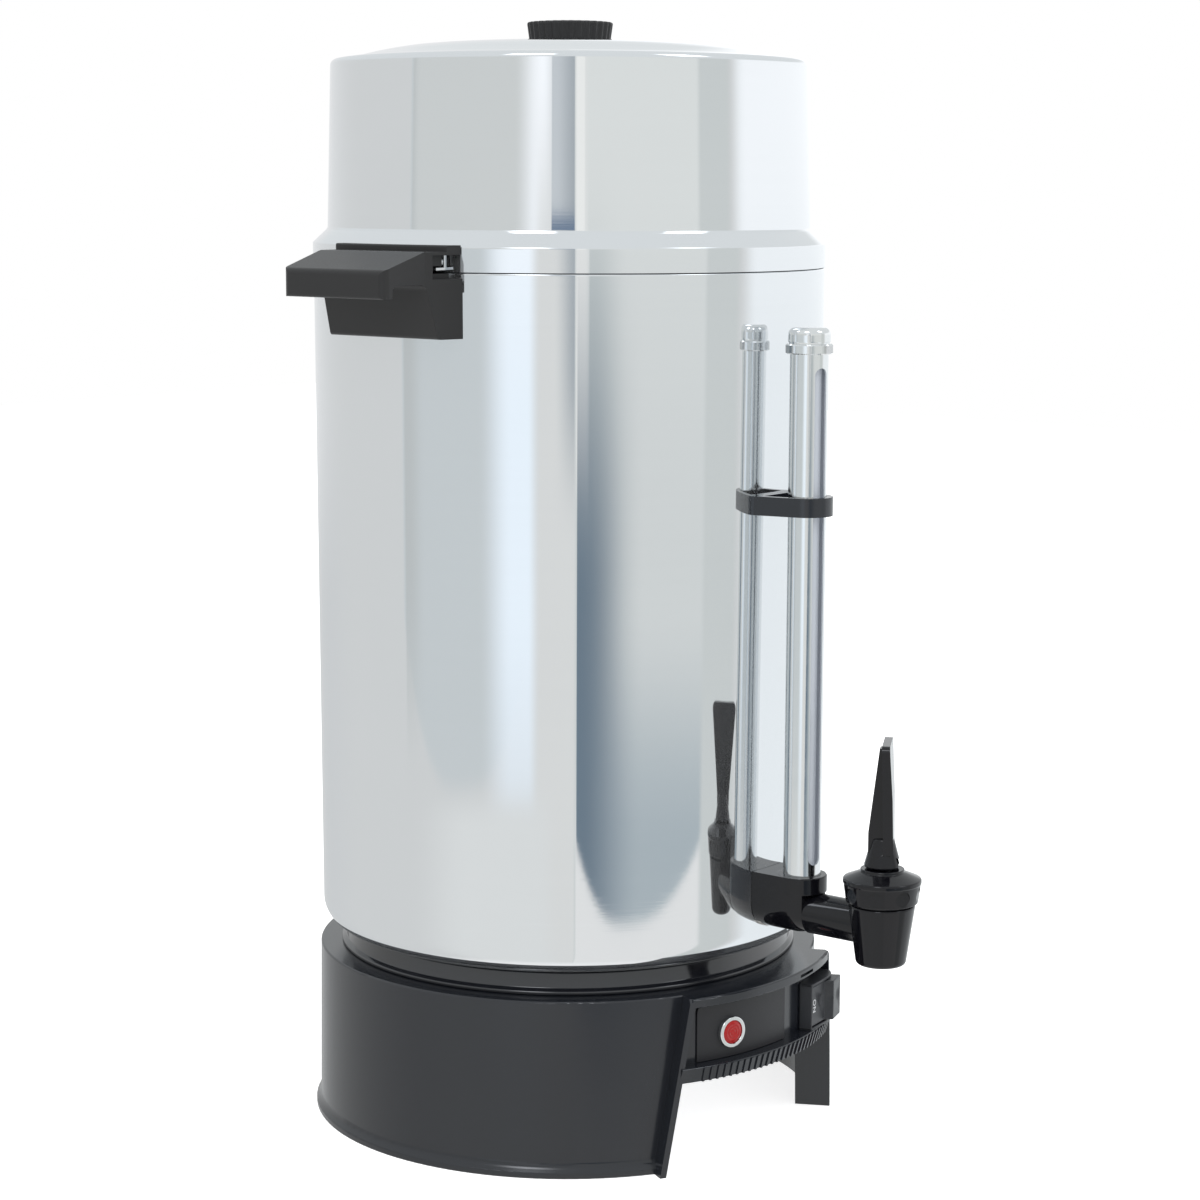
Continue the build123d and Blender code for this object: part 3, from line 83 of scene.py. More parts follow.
# Studio: what polished metal sees is a pale room with soft flags and strips in it.
# Degrees: azimuth counted from the camera to its right, elevation from the horizon; front
# turns the room to the camera. Each flag has its sides, the width of their soft edges, and
# its tone, and lies over the flags before it. A curve rounds a flag's foot: its middle, its
# reach to the left and right, how far the foot drops there, and the power of the bend.
# Fill is the even light on matt surfaces, as (elevation, level) low and high.
studio = {
    "front": 140.5,
    "room": (0.74, 0.75, 0.745),
    "fill": [(5, 0.62), (60, 1.12)],
    "flags": [
        {"left": -260, "right": -176, "edgeRight": 60, "tone": (0.84, 0.85, 0.86)},
        {"left": -260, "right": -150, "edgeRight": 40, "top": -9, "edgeTop": 5,
         "tone": (0.68, 0.695, 0.70)},
        {"left": -79, "right": -24, "edgeLeft": 0.8, "edgeRight": 22, "bottom": -12.6,
         "edgeBottom": 0.3, "curve": (-48, 31, 31, 3.4, 3), "tone": (0.66, 0.70, 0.712)},
        {"left": -78, "right": -76, "edgeLeft": 0.8, "edgeRight": 9, "bottom": -8,
         "edgeBottom": 5, "tone": (0.585, 0.61, 0.61)},
        {"left": -25, "right": -19, "edgeLeft": 16, "edgeRight": 12, "bottom": -9,
         "edgeBottom": 9, "tone": (1.0, 1.09, 1.17)},
        {"left": -27, "right": -13, "edgeLeft": 12, "edgeRight": 9, "bottom": 4,
         "edgeBottom": 10, "tone": (1.18, 1.20, 1.23)},
        {"left": -12, "right": 3, "edgeLeft": 6, "edgeRight": 0.5, "top": 0, "edgeTop": 6,
         "tone": (0.82, 0.825, 0.81)},
        {"left": -74, "right": -26, "edgeLeft": 6, "edgeRight": 14, "bottom": 0,
         "edgeBottom": 1, "tone": (0.71, 0.73, 0.72)},
        {"left": -8.0, "right": 3.2, "edgeLeft": 0.5, "edgeRight": 0.3, "bottom": 0,
         "edgeBottom": 0.5, "tone": (0.645, 0.68, 0.71)},
        {"left": 3.0, "right": 3.2, "edgeLeft": 10, "edgeRight": 0.3, "bottom": -4,
         "edgeBottom": 4, "tone": (0.43, 0.47, 0.50)},
        {"left": -8.0, "right": 3.2, "edgeLeft": 0.5, "edgeRight": 0.3, "bottom": 1.3,
         "top": 2.15, "edgeBottom": 0.3, "edgeTop": 0.25, "tone": (0.13, 0.20, 0.31)},
        {"left": 2.6, "right": 62, "edgeLeft": 0.4, "edgeRight": 5, "tone": (0.75, 0.775, 0.765)},
        {"left": 2.6, "right": 62, "edgeLeft": 0.4, "edgeRight": 5, "bottom": 4,
         "edgeBottom": 12, "tone": (0.84, 0.86, 0.84)},
        {"left": 9, "right": 10, "edgeLeft": 1, "edgeRight": 16, "top": -4, "edgeTop": 8,
         "tone": (0.58, 0.62, 0.62)},
        {"left": 3.2, "right": 6.5, "edgeLeft": 0.4, "edgeRight": 2.5, "bottom": -6.0,
         "edgeBottom": 1.5, "tone": (0.90, 0.90, 0.88)},
        {"left": 3.3, "right": 6.6, "edgeLeft": 0.3, "edgeRight": 0.6, "bottom": 0,
         "edgeBottom": 1, "tone": (1.0, 1.0, 0.97)},
        {"left": 3.4, "right": 60, "edgeLeft": 0.3, "edgeRight": 6, "top": -13.6,
         "edgeTop": 1.2, "tone": (0.90, 0.90, 0.89)},
        {"left": 3.6, "right": 62, "edgeLeft": 0.2, "edgeRight": 7, "bottom": -15.5, "top": -14,
         "edgeBottom": 0.1, "edgeTop": 5, "curve": (24, 20, 36, 1.5, 2.3),
         "tone": (0.45, 0.515, 0.55)},
        {"left": 3.6, "right": 5, "edgeLeft": 0.2, "edgeRight": 29, "bottom": -15.5, "top": -9,
         "edgeBottom": 0.1, "edgeTop": 8, "curve": (24, 20, 36, 1.5, 2.3),
         "tone": (0.14, 0.20, 0.26)},
        {"left": -46, "right": -14, "edgeLeft": 32, "edgeRight": 10, "top": -13.5,
         "edgeTop": 0.8, "tone": (0.83, 0.845, 0.835)},
        {"left": 64, "right": 78, "edgeLeft": 3, "edgeRight": 4, "tone": (0.68, 0.71, 0.70)},
        {"left": 92, "right": 260, "edgeLeft": 12, "tone": (0.98, 1.02, 1.04)},
        {"left": 92, "right": 260, "edgeLeft": 12, "bottom": 4, "edgeBottom": 10,
         "tone": (1.12, 1.14, 1.16)},
        {"left": -400, "right": 400, "bottom": 17, "edgeBottom": 9, "tone": (0.80, 0.83, 0.84)},
        {"left": -400, "right": 400, "top": -70, "edgeTop": 20, "tone": (1.0, 1.0, 0.99)},
        {"left": -26, "right": -18, "edgeLeft": 12, "edgeRight": 12, "bottom": 42, "top": 50,
         "edgeBottom": 10, "edgeTop": 10, "tone": (6.0, 6.2, 6.5)},
        {"left": 64, "right": 72, "edgeLeft": 10, "edgeRight": 10, "bottom": 40, "top": 50,
         "edgeBottom": 10, "edgeTop": 10, "tone": (4.0, 4.2, 4.4)},
    ],
}


def addNode(tree, kind, inputs=(), **settings):
    made = tree.nodes.new(kind)
    for key, value in settings.items():
        setattr(made, key, value)
    for socket, value in dict(inputs).items():
        if isinstance(value, bpy.types.NodeSocket):
            tree.links.new(value, made.inputs[socket])
        else:
            made.inputs[socket].default_value = value
    return made


def number(tree, operation, first, second=0.0):
    made = addNode(tree, "ShaderNodeMath", {0: first, 1: second}, operation=operation)
    return made.outputs[0]


# A colour mix takes its two colours at sockets 6 and 7 and gives its result at output 2
def mixedColour(tree, factor, first, second):
    inputs = {"Factor": factor, 6: first, 7: second}
    return addNode(tree, "ShaderNodeMix", inputs, data_type="RGBA").outputs[2]


# Range nodes: 1 and 2 are the ends of the value's range, 3 and 4 what they become
def softStep(tree, value, start, end):
    return addNode(
        tree,
        "ShaderNodeMapRange",
        {0: value, 1: start, 2: end, 3: 0.0, 4: 1.0},
        interpolation_type="SMOOTHSTEP",
    ).outputs[0]


def background(tree, colour, strength):
    inputs = {"Color": colour, "Strength": strength}
    return addNode(tree, "ShaderNodeBackground", inputs).outputs[0]


def flagMask(tree, azimuth, elevation, flag):
    left, right = flag["left"], flag["right"]
    rise = softStep(tree, azimuth, left - flag.get("edgeLeft", 1), left)
    fall = softStep(tree, azimuth, right + flag.get("edgeRight", 1), right)
    mask = number(tree, "MULTIPLY", rise, fall)
    if "curve" in flag:
        middle, halfLeft, halfRight, drop, power = flag["curve"]
        offset = number(tree, "SUBTRACT", azimuth, middle)
        across = number(
            tree,
            "MAXIMUM",
            number(tree, "DIVIDE", offset, -halfLeft),
            number(tree, "DIVIDE", offset, halfRight),
        )
        bend = number(tree, "POWER", across, power)
        foot = number(tree, "SUBTRACT", elevation, number(tree, "MULTIPLY", bend, drop))
    else:
        foot = elevation
    if "bottom" in flag:
        edge = flag["bottom"]
        soft = softStep(tree, foot, edge - flag.get("edgeBottom", 1), edge)
        mask = number(tree, "MULTIPLY", mask, soft)
    if "top" in flag:
        edge = flag["top"]
        soft = softStep(tree, elevation, edge + flag.get("edgeTop", 1), edge)
        mask = number(tree, "MULTIPLY", mask, soft)
    return mask


# Mirror rays see the room with its flags, matt surfaces an even fill, the camera plain white
def makeStudio(plan):
    world = bpy.data.worlds.new("studio")
    scene.world = world
    world.use_nodes = True
    tree = world.node_tree
    tree.nodes.clear()
    look = addNode(tree, "ShaderNodeTexCoord").outputs["Generated"]
    facing = addNode(
        tree,
        "ShaderNodeVectorRotate",
        {"Vector": look, "Angle": math.radians(plan["front"])},
        rotation_type="Z_AXIS",
    ).outputs[0]
    axes = addNode(tree, "ShaderNodeSeparateXYZ", {0: facing}).outputs
    degree = math.degrees(1)
    azimuth = number(tree, "MULTIPLY", number(tree, "ARCTAN2", axes["Y"], axes["X"]), degree)
    elevation = number(tree, "MULTIPLY", number(tree, "ARCSINE", axes["Z"]), degree)
    tone = addNode(tree, "ShaderNodeRGB").outputs[0]
    tone.default_value = (*plan["room"], 1)
    for flag in plan["flags"]:
        mask = flagMask(tree, azimuth, elevation, flag)
        tone = mixedColour(tree, mask, tone, (*flag["tone"], 1))
    white = (1, 1, 1, 1)
    (lowAngle, lowLevel), (highAngle, highLevel) = plan["fill"]
    level = addNode(
        tree,
        "ShaderNodeMapRange",
        {0: elevation, 1: lowAngle, 2: highAngle, 3: lowLevel, 4: highLevel},
    ).outputs[0]
    room = background(tree, tone, 1.0)
    fill = background(tree, white, level)
    ray = addNode(tree, "ShaderNodeLightPath").outputs
    lit = addNode(
        tree, "ShaderNodeMixShader", {0: ray["Is Glossy Ray"], 1: fill, 2: room}
    ).outputs[0]
    direct = number(tree, "MAXIMUM", ray["Is Camera Ray"], ray["Is Transmission Ray"])
    final = addNode(
        tree, "ShaderNodeMixShader", {0: direct, 1: lit, 2: background(tree, white, 1.0)}
    ).outputs[0]
    addNode(tree, "ShaderNodeOutputWorld", {"Surface": final})


makeStudio(studio)


# Two soft boxes that no reflection shows (metres, watts)
softBoxes = {
    "key": {"from": (-1.6, -1.2, 1.9), "aim": (0, 0, 0.25), "size": 1.2, "power": 14},
    "side": {"from": (1.4, -1.6, 1.2), "aim": (0, 0, 0.25), "size": 1.0, "power": 8},
}


def makeSoftBoxes(plan):
    for name, box in plan.items():
        data = bpy.data.lights.new(name, "AREA")
        data.size = box["size"]
        data.energy = box["power"]
        made = bpy.data.objects.new(name, data)
        made.location = box["from"]
        aim = Vector(box["aim"]) - made.location
        made.rotation_euler = aim.to_track_quat("-Z", "Y").to_euler()
        made.visible_glossy = False
        scene.collection.objects.link(made)


makeSoftBoxes(softBoxes)


floorLook = {"size": 8, "colour": 0.80, "rough": 0.9, "glow": 0.74}


# White paper: its glow lights nothing, and leaves the urn's shadow on it
def makeFloor(look):
    bpy.ops.mesh.primitive_plane_add(size=look["size"], location=(0, 0, 0))
    ground = bpy.context.active_object
    ground.name = "floor"
    bpy.ops.object.transform_apply(location=True, rotation=True, scale=True)
    paper = bpy.data.materials.new("whitePaper")
    paper.use_nodes = True
    tree = paper.node_tree
    shader = tree.nodes["Principled BSDF"]
    shader.inputs["Base Color"].default_value = (look["colour"],) * 3 + (1,)
    shader.inputs["Roughness"].default_value = look["rough"]
    shader.inputs["Specular IOR Level"].default_value = 0.0
    ray = addNode(tree, "ShaderNodeLightPath").outputs
    direct = number(tree, "MAXIMUM", ray["Is Camera Ray"], ray["Is Transmission Ray"])
    direct = number(tree, "MAXIMUM", direct, ray["Is Glossy Ray"])
    glow = number(tree, "MULTIPLY", direct, look["glow"])
    shader.inputs["Emission Color"].default_value = (1, 1, 1, 1)
    tree.links.new(glow, shader.inputs["Emission Strength"])
    ground.data.materials.append(paper)
    ground.visible_glossy = False


makeFloor(floorLook)
print("studio set")


# Finishes, all from noise on object coordinates (metres): a fine grain that may be stretched,
# and broad smudges. Both vary the roughness and the tone, and the grain alone gives the relief.
smudges = {"size": 9, "tone": 0.04, "grainShare": 0.6}


def finish(name, colour, metal=0.0, rough=(0.4, 0.5), grain=(1, 1, 1), size=300,
           bump=0.1, depth=0.00005, edge=0.0, **sockets):
    made = bpy.data.materials.new(name)
    made.use_nodes = True
    tree = made.node_tree
    shader = tree.nodes["Principled BSDF"]
    shader.inputs["Metallic"].default_value = metal
    for socket, value in sockets.items():
        shader.inputs[socket.replace("_", " ")].default_value = value
    place = addNode(tree, "ShaderNodeTexCoord").outputs["Object"]
    stretched = addNode(
        tree, "ShaderNodeMapping", {"Vector": place, "Scale": grain}
    ).outputs[0]
    fine = addNode(
        tree, "ShaderNodeTexNoise", {"Vector": stretched, "Scale": size, "Detail": 3.0}
    ).outputs[0]
    broad = addNode(
        tree, "ShaderNodeTexNoise", {"Vector": place, "Scale": smudges["size"], "Detail": 4.0}
    ).outputs[0]
    share = smudges["grainShare"]
    mixed = number(
        tree,
        "ADD",
        number(tree, "MULTIPLY", fine, share),
        number(tree, "MULTIPLY", broad, 1 - share),
    )
    roughness = addNode(
        tree, "ShaderNodeMapRange", {0: mixed, 1: 0.3, 2: 0.7, 3: rough[0], 4: rough[1]}
    ).outputs[0]
    tree.links.new(roughness, shader.inputs["Roughness"])
    light = [min(1, part * (1 + smudges["tone"])) for part in colour] + [1]
    dark = [part * (1 - smudges["tone"]) for part in colour] + [1]
    tree.links.new(mixedColour(tree, mixed, dark, light), shader.inputs["Base Color"])
    if bump:
        relief = {"Strength": bump, "Distance": depth, "Height": fine}
        if edge:
            relief["Normal"] = addNode(
                tree, "ShaderNodeBevel", {"Radius": edge}, samples=4
            ).outputs[0]
        raised = addNode(tree, "ShaderNodeBump", relief).outputs[0]
        tree.links.new(raised, shader.inputs["Normal"])
    return made


finishes = {
    "polished_shell": finish("polishedAluminium", (0.79, 0.81, 0.83), metal=0.95,
                             rough=(0.015, 0.04), grain=(0.012, 0.012, 20), size=300,
                             bump=0.04, depth=0.00002),
    "inner_aluminium": finish("drawnAluminium", (0.70, 0.70, 0.70), metal=1.0, rough=(0.28, 0.42),
                              grain=(0.1, 0.1, 4), size=200, bump=0.1),
    "steel": finish("zincedSteel", (0.60, 0.60, 0.62), metal=1.0, rough=(0.25, 0.4)),
    "bright_trim": finish("brightChrome", (0.80, 0.815, 0.82), metal=1.0, rough=(0.09, 0.14),
                          bump=0.0, size=120),
    "handle_black": finish("satinPhenolic", (0.022, 0.022, 0.023), rough=(0.30, 0.40), size=1500,
                           bump=0.2, depth=0.00003, edge=0.0004, Specular_IOR_Level=0.36),
    "base_black": finish("satinBaseBlack", (0.012, 0.014, 0.019), rough=(0.15, 0.20), size=700,
                         bump=0.02, depth=0.00002, Specular_IOR_Level=0.64),
    "panel_black": finish("labelFilm", (0.013, 0.013, 0.016), rough=(0.40, 0.52), size=1200),
    "switch_black": finish("switchNylon", (0.026, 0.028, 0.033), rough=(0.32, 0.42), size=1000,
                           edge=0.0004),
    "gloss_black": finish("glossPhenolic", (0.005, 0.005, 0.007), rough=(0.05, 0.09), size=160,
                          bump=0.02, Specular_IOR_Level=0.40),
    "lamp_red": finish("redLens", (0.40, 0.010, 0.010), rough=(0.16, 0.24), size=400, bump=0.02,
                       Specular_IOR_Level=0.4),
    # The gauge glass glows faintly though it is no lamp: painted light that keeps the glass pale
    # inside its shaded slot
    "gauge_glass": finish("gaugeGlassPaintedGlow", (0.45, 0.48, 0.53), rough=(0.04, 0.07), bump=0.0,
                          Alpha=0.92, IOR=1.47, Emission_Color=(0.74, 0.80, 0.85, 1),
                          Emission_Strength=0.18),
    "seal_rubber": finish("siliconeSeal", (0.55, 0.53, 0.50), rough=(0.5, 0.65)),
    "heater": finish("heaterCasting", (0.33, 0.31, 0.29), metal=0.8, rough=(0.45, 0.65), bump=0.3),
    "brass": finish("plainBrass", (0.75, 0.58, 0.30), metal=1.0, rough=(0.25, 0.4)),
    "wire_jacket": finish("fibreglassSleeve", (0.68, 0.67, 0.64), rough=(0.6, 0.8),
                          grain=(1, 1, 1), size=2500, bump=0.4),
    "collar_gloss": finish("collarGloss", (0.012, 0.013, 0.017), rough=(0.07, 0.11), size=160,
                           bump=0.02, Specular_IOR_Level=0.85),
    # Pale finish for the shield's inside faces: painted light that stands for the light the bright
    # tube's inside gets
    "shield_painted_light": finish("shieldInsidePaintedLight", (0.66, 0.68, 0.72), metal=0.25, rough=(0.4, 0.5),
                            bump=0.0),
    # Dull dark metal for the vessel's neck inside the lid: painted shade in the seam between
    # vessel and lid
    "seam_shade": finish("paintedSeamShade", (0.10, 0.11, 0.12), metal=0.6, rough=(0.5, 0.6), bump=0.1),
    "letter_white": finish("printWhite", (0.78, 0.80, 0.82), rough=(0.4, 0.5), bump=0.0),
}

# Each node takes the finish of its slot, but for those named in looks
slotOfNode = {part["node"]: part["material_slot"] for part in frame["record"]["subparts"]}
looks = {"switch_housing": "switch_black"}
for name, node in nodes.items():
    node.data.materials.clear()
    node.data.materials.append(finishes[looks.get(name, slotOfNode[name])])
print("finishes made")


# Outlines are points in millimetres. In a turned piece's half outline they are the distance
# from the axis and the height, and a third value rounds that corner.
weldReach = 0.002 * mm


# Rounds the corners, with a point beside each arc so that the flat next to it stays flat
def eased(points, arcSteps=8, support=0.4):
    corners = []
    count = len(points)
    for index, point in enumerate(points):
        spot = Vector(point[:2])
        radius = point[2] if len(point) > 2 else 0
        if not radius:
            corners.append(spot)
            continue
        before = (Vector(points[index - 1][:2]) - spot).normalized()
        after = (Vector(points[(index + 1) % count][:2]) - spot).normalized()
        half = before.angle(after) / 2
        reach = radius / math.tan(half)
        centre = spot + (before + after).normalized() * radius / math.sin(half)
        start, end = spot + before * reach, spot + after * reach
        sweep = (start - centre).angle_signed(end - centre)
        corners.append(start + before * support)
        for step in range(arcSteps + 1):
            turn = Matrix.Rotation(-sweep * step / arcSteps, 2)
            corners.append(centre + turn @ (start - centre))
        corners.append(end + after * support)
    return corners


# Leaves a single vertex of a new plane, and extrudes it from point to point
def traced(name, route):
    bpy.ops.object.select_all(action="DESELECT")
    bpy.ops.mesh.primitive_plane_add(size=mm, location=route[0])
    piece = bpy.context.active_object
    piece.name = piece.data.name = name
    bpy.ops.object.mode_set(mode="EDIT")
    bpy.ops.mesh.select_all(action="SELECT")
    bpy.ops.mesh.merge(type="CENTER")
    for last, point in zip(route, route[1:]):
        bpy.ops.mesh.extrude_vertices_move(TRANSFORM_OT_translate={"value": point - last})
    return piece


def chooseAlone(piece):
    bpy.ops.object.select_all(action="DESELECT")
    piece.select_set(True)
    bpy.context.view_layer.objects.active = piece


# Puts the piece's place into its mesh, and smooths what is flatter than the angle
def settle(piece, smoothAngle=32):
    chooseAlone(piece)
    bpy.ops.object.transform_apply(location=True, rotation=True, scale=True)
    bpy.ops.object.shade_smooth_by_angle(angle=math.radians(smoothAngle))


# Spins a half outline round an upright axis
def turned(name, outline, steps=192, centre=(0, 0), closed=True, smoothAngle=32):
    outline = list(outline) + [outline[0]] if closed else outline
    route = [
        Vector((centre[0] + point[0], centre[1], point[1])) * mm for point in outline
    ]
    piece = traced(name, route)
    bpy.ops.mesh.select_all(action="SELECT")
    bpy.ops.mesh.spin(
        steps=steps, angle=math.tau, center=(centre[0] * mm, centre[1] * mm, 0), axis=(0, 0, 1)
    )
    bpy.ops.mesh.select_all(action="SELECT")
    bpy.ops.mesh.remove_doubles(threshold=weldReach)
    bpy.ops.mesh.normals_make_consistent(inside=False)
    bpy.ops.object.mode_set(mode="OBJECT")
    settle(piece, smoothAngle)
    return piece


# Fills a flat outline at a level and raises it by the depth
def slab(name, outline, depth, level=0):
    route = [Vector((point[0], point[1], level)) * mm for point in outline]
    piece = traced(name, route + route[:1])
    bpy.ops.mesh.select_all(action="SELECT")
    bpy.ops.mesh.remove_doubles(threshold=weldReach)
    bpy.ops.mesh.edge_face_add()
    bpy.ops.mesh.extrude_region_move(TRANSFORM_OT_translate={"value": (0, 0, depth * mm)})
    bpy.ops.mesh.select_all(action="SELECT")
    bpy.ops.mesh.normals_make_consistent(inside=False)
    bpy.ops.object.mode_set(mode="OBJECT")
    settle(piece)
    return piece


# Scales the chosen vertices toward an upright axis, or away from it
def pulled(piece, chosen, factor, centre=(0, 0)):
    for vertex in piece.data.vertices:
        vertex.select = bool(chosen(vertex.co / mm))
    for edge in piece.data.edges:
        edge.select = False
    for face in piece.data.polygons:
        face.select = False
    bpy.context.view_layer.objects.active = piece
    bpy.ops.object.mode_set(mode="EDIT")
    bpy.ops.mesh.select_mode(type="VERT")
    bpy.ops.transform.resize(
        value=(factor, factor, 1), center_override=(centre[0] * mm, centre[1] * mm, 0)
    )
    bpy.ops.object.mode_set(mode="OBJECT")


def modified(piece, kind, **settings):
    chooseAlone(piece)
    tool = piece.modifiers.new(kind.lower(), kind)
    for key, value in settings.items():
        setattr(tool, key, value)
    bpy.ops.object.modifier_apply(modifier=tool.name)


def bevelled(piece, width, segments, angle):
    modified(piece, "BEVEL", width=width * mm, segments=segments, limit_method="ANGLE",
             angle_limit=math.radians(angle))


def carved(piece, cutter):
    modified(piece, "BOOLEAN", operation="DIFFERENCE", object=cutter, solver="EXACT")
    bpy.data.objects.remove(cutter)


def placed(piece, location, turn):
    piece.location = Vector(location) * mm
    piece.rotation_euler = [math.radians(angle) for angle in turn]


def dress(piece, body, slot, *replaced, look=None):
    piece.data.materials.clear()
    piece.data.materials.append(finishes[look or slot])
    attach(piece, body)
    if replaced:
        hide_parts(*replaced)


# Gives a second finish to the faces that are chosen by their centre, in millimetres
def lined(piece, look, chosen):
    piece.data.materials.append(finishes[look])
    for face in piece.data.polygons:
        if chosen(face.center / mm):
            face.material_index = 1


# Vessel: a spun shell with a well for the heater; its neck goes up into the lid
vesselShell = {
    "rim": 134,
    "shoulder": 451.6,
    "neck": 132.6,
    "top": 459,
    "foot": 132.2,
    "floor": 103,
    "footRound": 12,
    "well": 34,
    "wellFloor": 90,
    "wellRound": 3,
    "brimRound": 1.5,
    "rimRound": 0.7,
    "topRound": 0.4,
    "neckRound": 0.5,
    "wall": 1.2,
}


def makeVessel(size):
    wall, neck, shoulder = size["wall"], size["neck"], size["shoulder"]
    outside = [
        (0, size["wellFloor"]),
        (size["well"], size["wellFloor"], size["wellRound"]),
        (size["well"], size["floor"], size["brimRound"]),
        (size["foot"], size["floor"], size["footRound"]),
        (size["rim"], shoulder, size["rimRound"]),
        (neck, shoulder),
        (neck, size["top"], size["topRound"]),
    ]
    inside = [
        (neck - wall, size["top"], size["topRound"]),
        (neck - wall, shoulder - wall, size["neckRound"]),
        (size["rim"] - wall, shoulder - wall),
        (size["foot"] - wall, size["floor"] + wall, size["footRound"] - wall),
        (size["well"] - wall, size["floor"] + wall, size["brimRound"] + wall),
        (size["well"] - wall, size["wellFloor"] + wall, size["wellRound"] - wall),
        (0, size["wellFloor"] + wall),
    ]
    vessel = turned("vesselShell", eased(outside + inside, arcSteps=10), closed=False)
    dress(vessel, "urn", "polished_shell", "vessel")
    # The neck's faces above the shoulder take the dark seam finish: painted shade in the gap below
    # the lid
    lined(vessel, "seam_shade", lambda spot: spot.z > shoulder - 0.1)


makeVessel(vesselShell)
print("vessel made")


# Lid: a shallow dome, a falling brow, a rounded corner, and a band that is stepped out.
# The inner outline is the outer one, set in by the sheet's thickness.
lidShell = {
    "crown": 568,
    "dome": 75,
    "domeDrop": 2.6,
    "domeSteps": 24,
    "brow": [(84, 564.6), (93, 563.2), (102, 561.4), (110.5, 559.3)],
    "corner": (124.4, 557.4, 3.2),
    "wall": (126.6, 472, 0.8),
    "bevelTop": (127.2, 470.8, 0.5),
    "band": (134.4, 464, 0.9),
    "foot": 452,
    "sheet": 1.2,
}


def lidHalf(size, inset):
    dome = []
    for step in range(size["domeSteps"] + 1):
        radius = (size["dome"] - inset * 0.5) * step / size["domeSteps"]
        drop = size["domeDrop"] * (radius / size["dome"]) ** 2
        dome.append(Vector((radius, size["crown"] - inset - drop)))
    brow = [Vector((radius, height - inset)) for radius, height in size["brow"]]
    corner, wall, bevelTop, band = size["corner"], size["wall"], size["bevelTop"], size["band"]
    side = [
        brow[-1],
        (corner[0] - inset, corner[1] - inset * 0.9, corner[2] - inset),
        (wall[0] - inset, wall[1], wall[2]),
        (bevelTop[0] - inset, bevelTop[1], bevelTop[2]),
        (band[0] - inset, band[1] - inset * 0.5, band[2]),
        (band[0] - inset, size["foot"]),
    ]
    return dome + brow[:-1] + eased(side, arcSteps=10)


def makeLid(size):
    outline = lidHalf(size, 0) + list(reversed(lidHalf(size, size["sheet"])))
    lid = turned("lidShell", outline, closed=False)
    dress(lid, "lid", "polished_shell", "lid_shell")


makeLid(lidShell)
print("lid made")


# Collar ring: a lip on the base, a slope, and the seat that carries the vessel
collarRing = {
    "outline": [
        (112, 90.8), (122.6, 90.8, 0.8), (122.6, 92.7, 0.9), (120.2, 94.1, 0.9),
        (117.4, 101.5, 1), (108, 101.5), (108, 103, 0.8), (104, 103, 0.8), (104, 101.5),
        (92, 101.5, 0.5), (92, 99, 0.5), (116.2, 99), (116.2, 93), (112, 93, 0.5),
    ],
}


def makeCollar(size):
    collar = turned("collarRing", eased(size["outline"], arcSteps=6, support=0.15))
    dress(collar, "urn", slotOfNode["collar_ring"], "collar_ring", look="collar_gloss")


makeCollar(collarRing)
print("collar ring made")


# Lid knob: a tapered phenolic knob with upright flutes round its side. Each groove is how
# many columns it lies from the flute's middle, and how far those are pulled to the axis.
lidKnob = {
    "foot": 21.2,
    "top": 22.5,
    "low": 568.3,
    "high": 577.6,
    "footRound": 0.6,
    "topRound": 1.1,
    "dish": 0.9,
    "side": 0.9,
    "flutes": 30,
    "columns": 8,
    "grooves": [(0.5, 0.955), (1.5, 0.966), (2.5, 0.988)],
}


def makeKnob(size):
    outline = eased(
        [
            (0, size["low"]),
            (size["foot"], size["low"], size["footRound"]),
            (size["top"], size["high"], size["topRound"]),
            (0, size["high"] - size["dish"]),
        ],
        arcSteps=6,
        support=0.25,
    )
    knob = turned("lidKnob", outline, steps=size["flutes"] * size["columns"], closed=False)
    pitch = 360 / size["flutes"]
    column = pitch / size["columns"]
    for reach, factor in size["grooves"]:
        def inFlute(spot, reach=reach):
            if math.hypot(spot.x, spot.y) < size["foot"] - size["side"]:
                return False
            bearing = math.degrees(math.atan2(spot.y, spot.x)) + column / 2
            off = abs((bearing + pitch / 2) % pitch - pitch / 2) / column
            return abs(off - reach) < 0.3

        pulled(knob, inFlute, factor)
    settle(knob, smoothAngle=40)
    dress(knob, "knob", slotOfNode["lid_knob"], "lid_knob")


makeKnob(lidKnob)
print("knob made")


# The gauge's upright axis, which its cap, its shield and the boss share
gaugeAxis = (0, -153.8)


# Gauge cap: a bright screw cap with a fine cross-knurled band at its foot. The band's
# vertices lie in columns and rows, and every other one of them is raised to a point.
gaugeCap = {
    "low": 411.8,
    "band": 416.8,
    "high": 424.8,
    "bore": 6.5,
    "radius": 10.6,
    "grip": 11.2,
    "columns": 144,
    "rows": 9,
    "firstRow": 0.5,
    "rowPitch": 0.475,
    "points": 1.045,
}


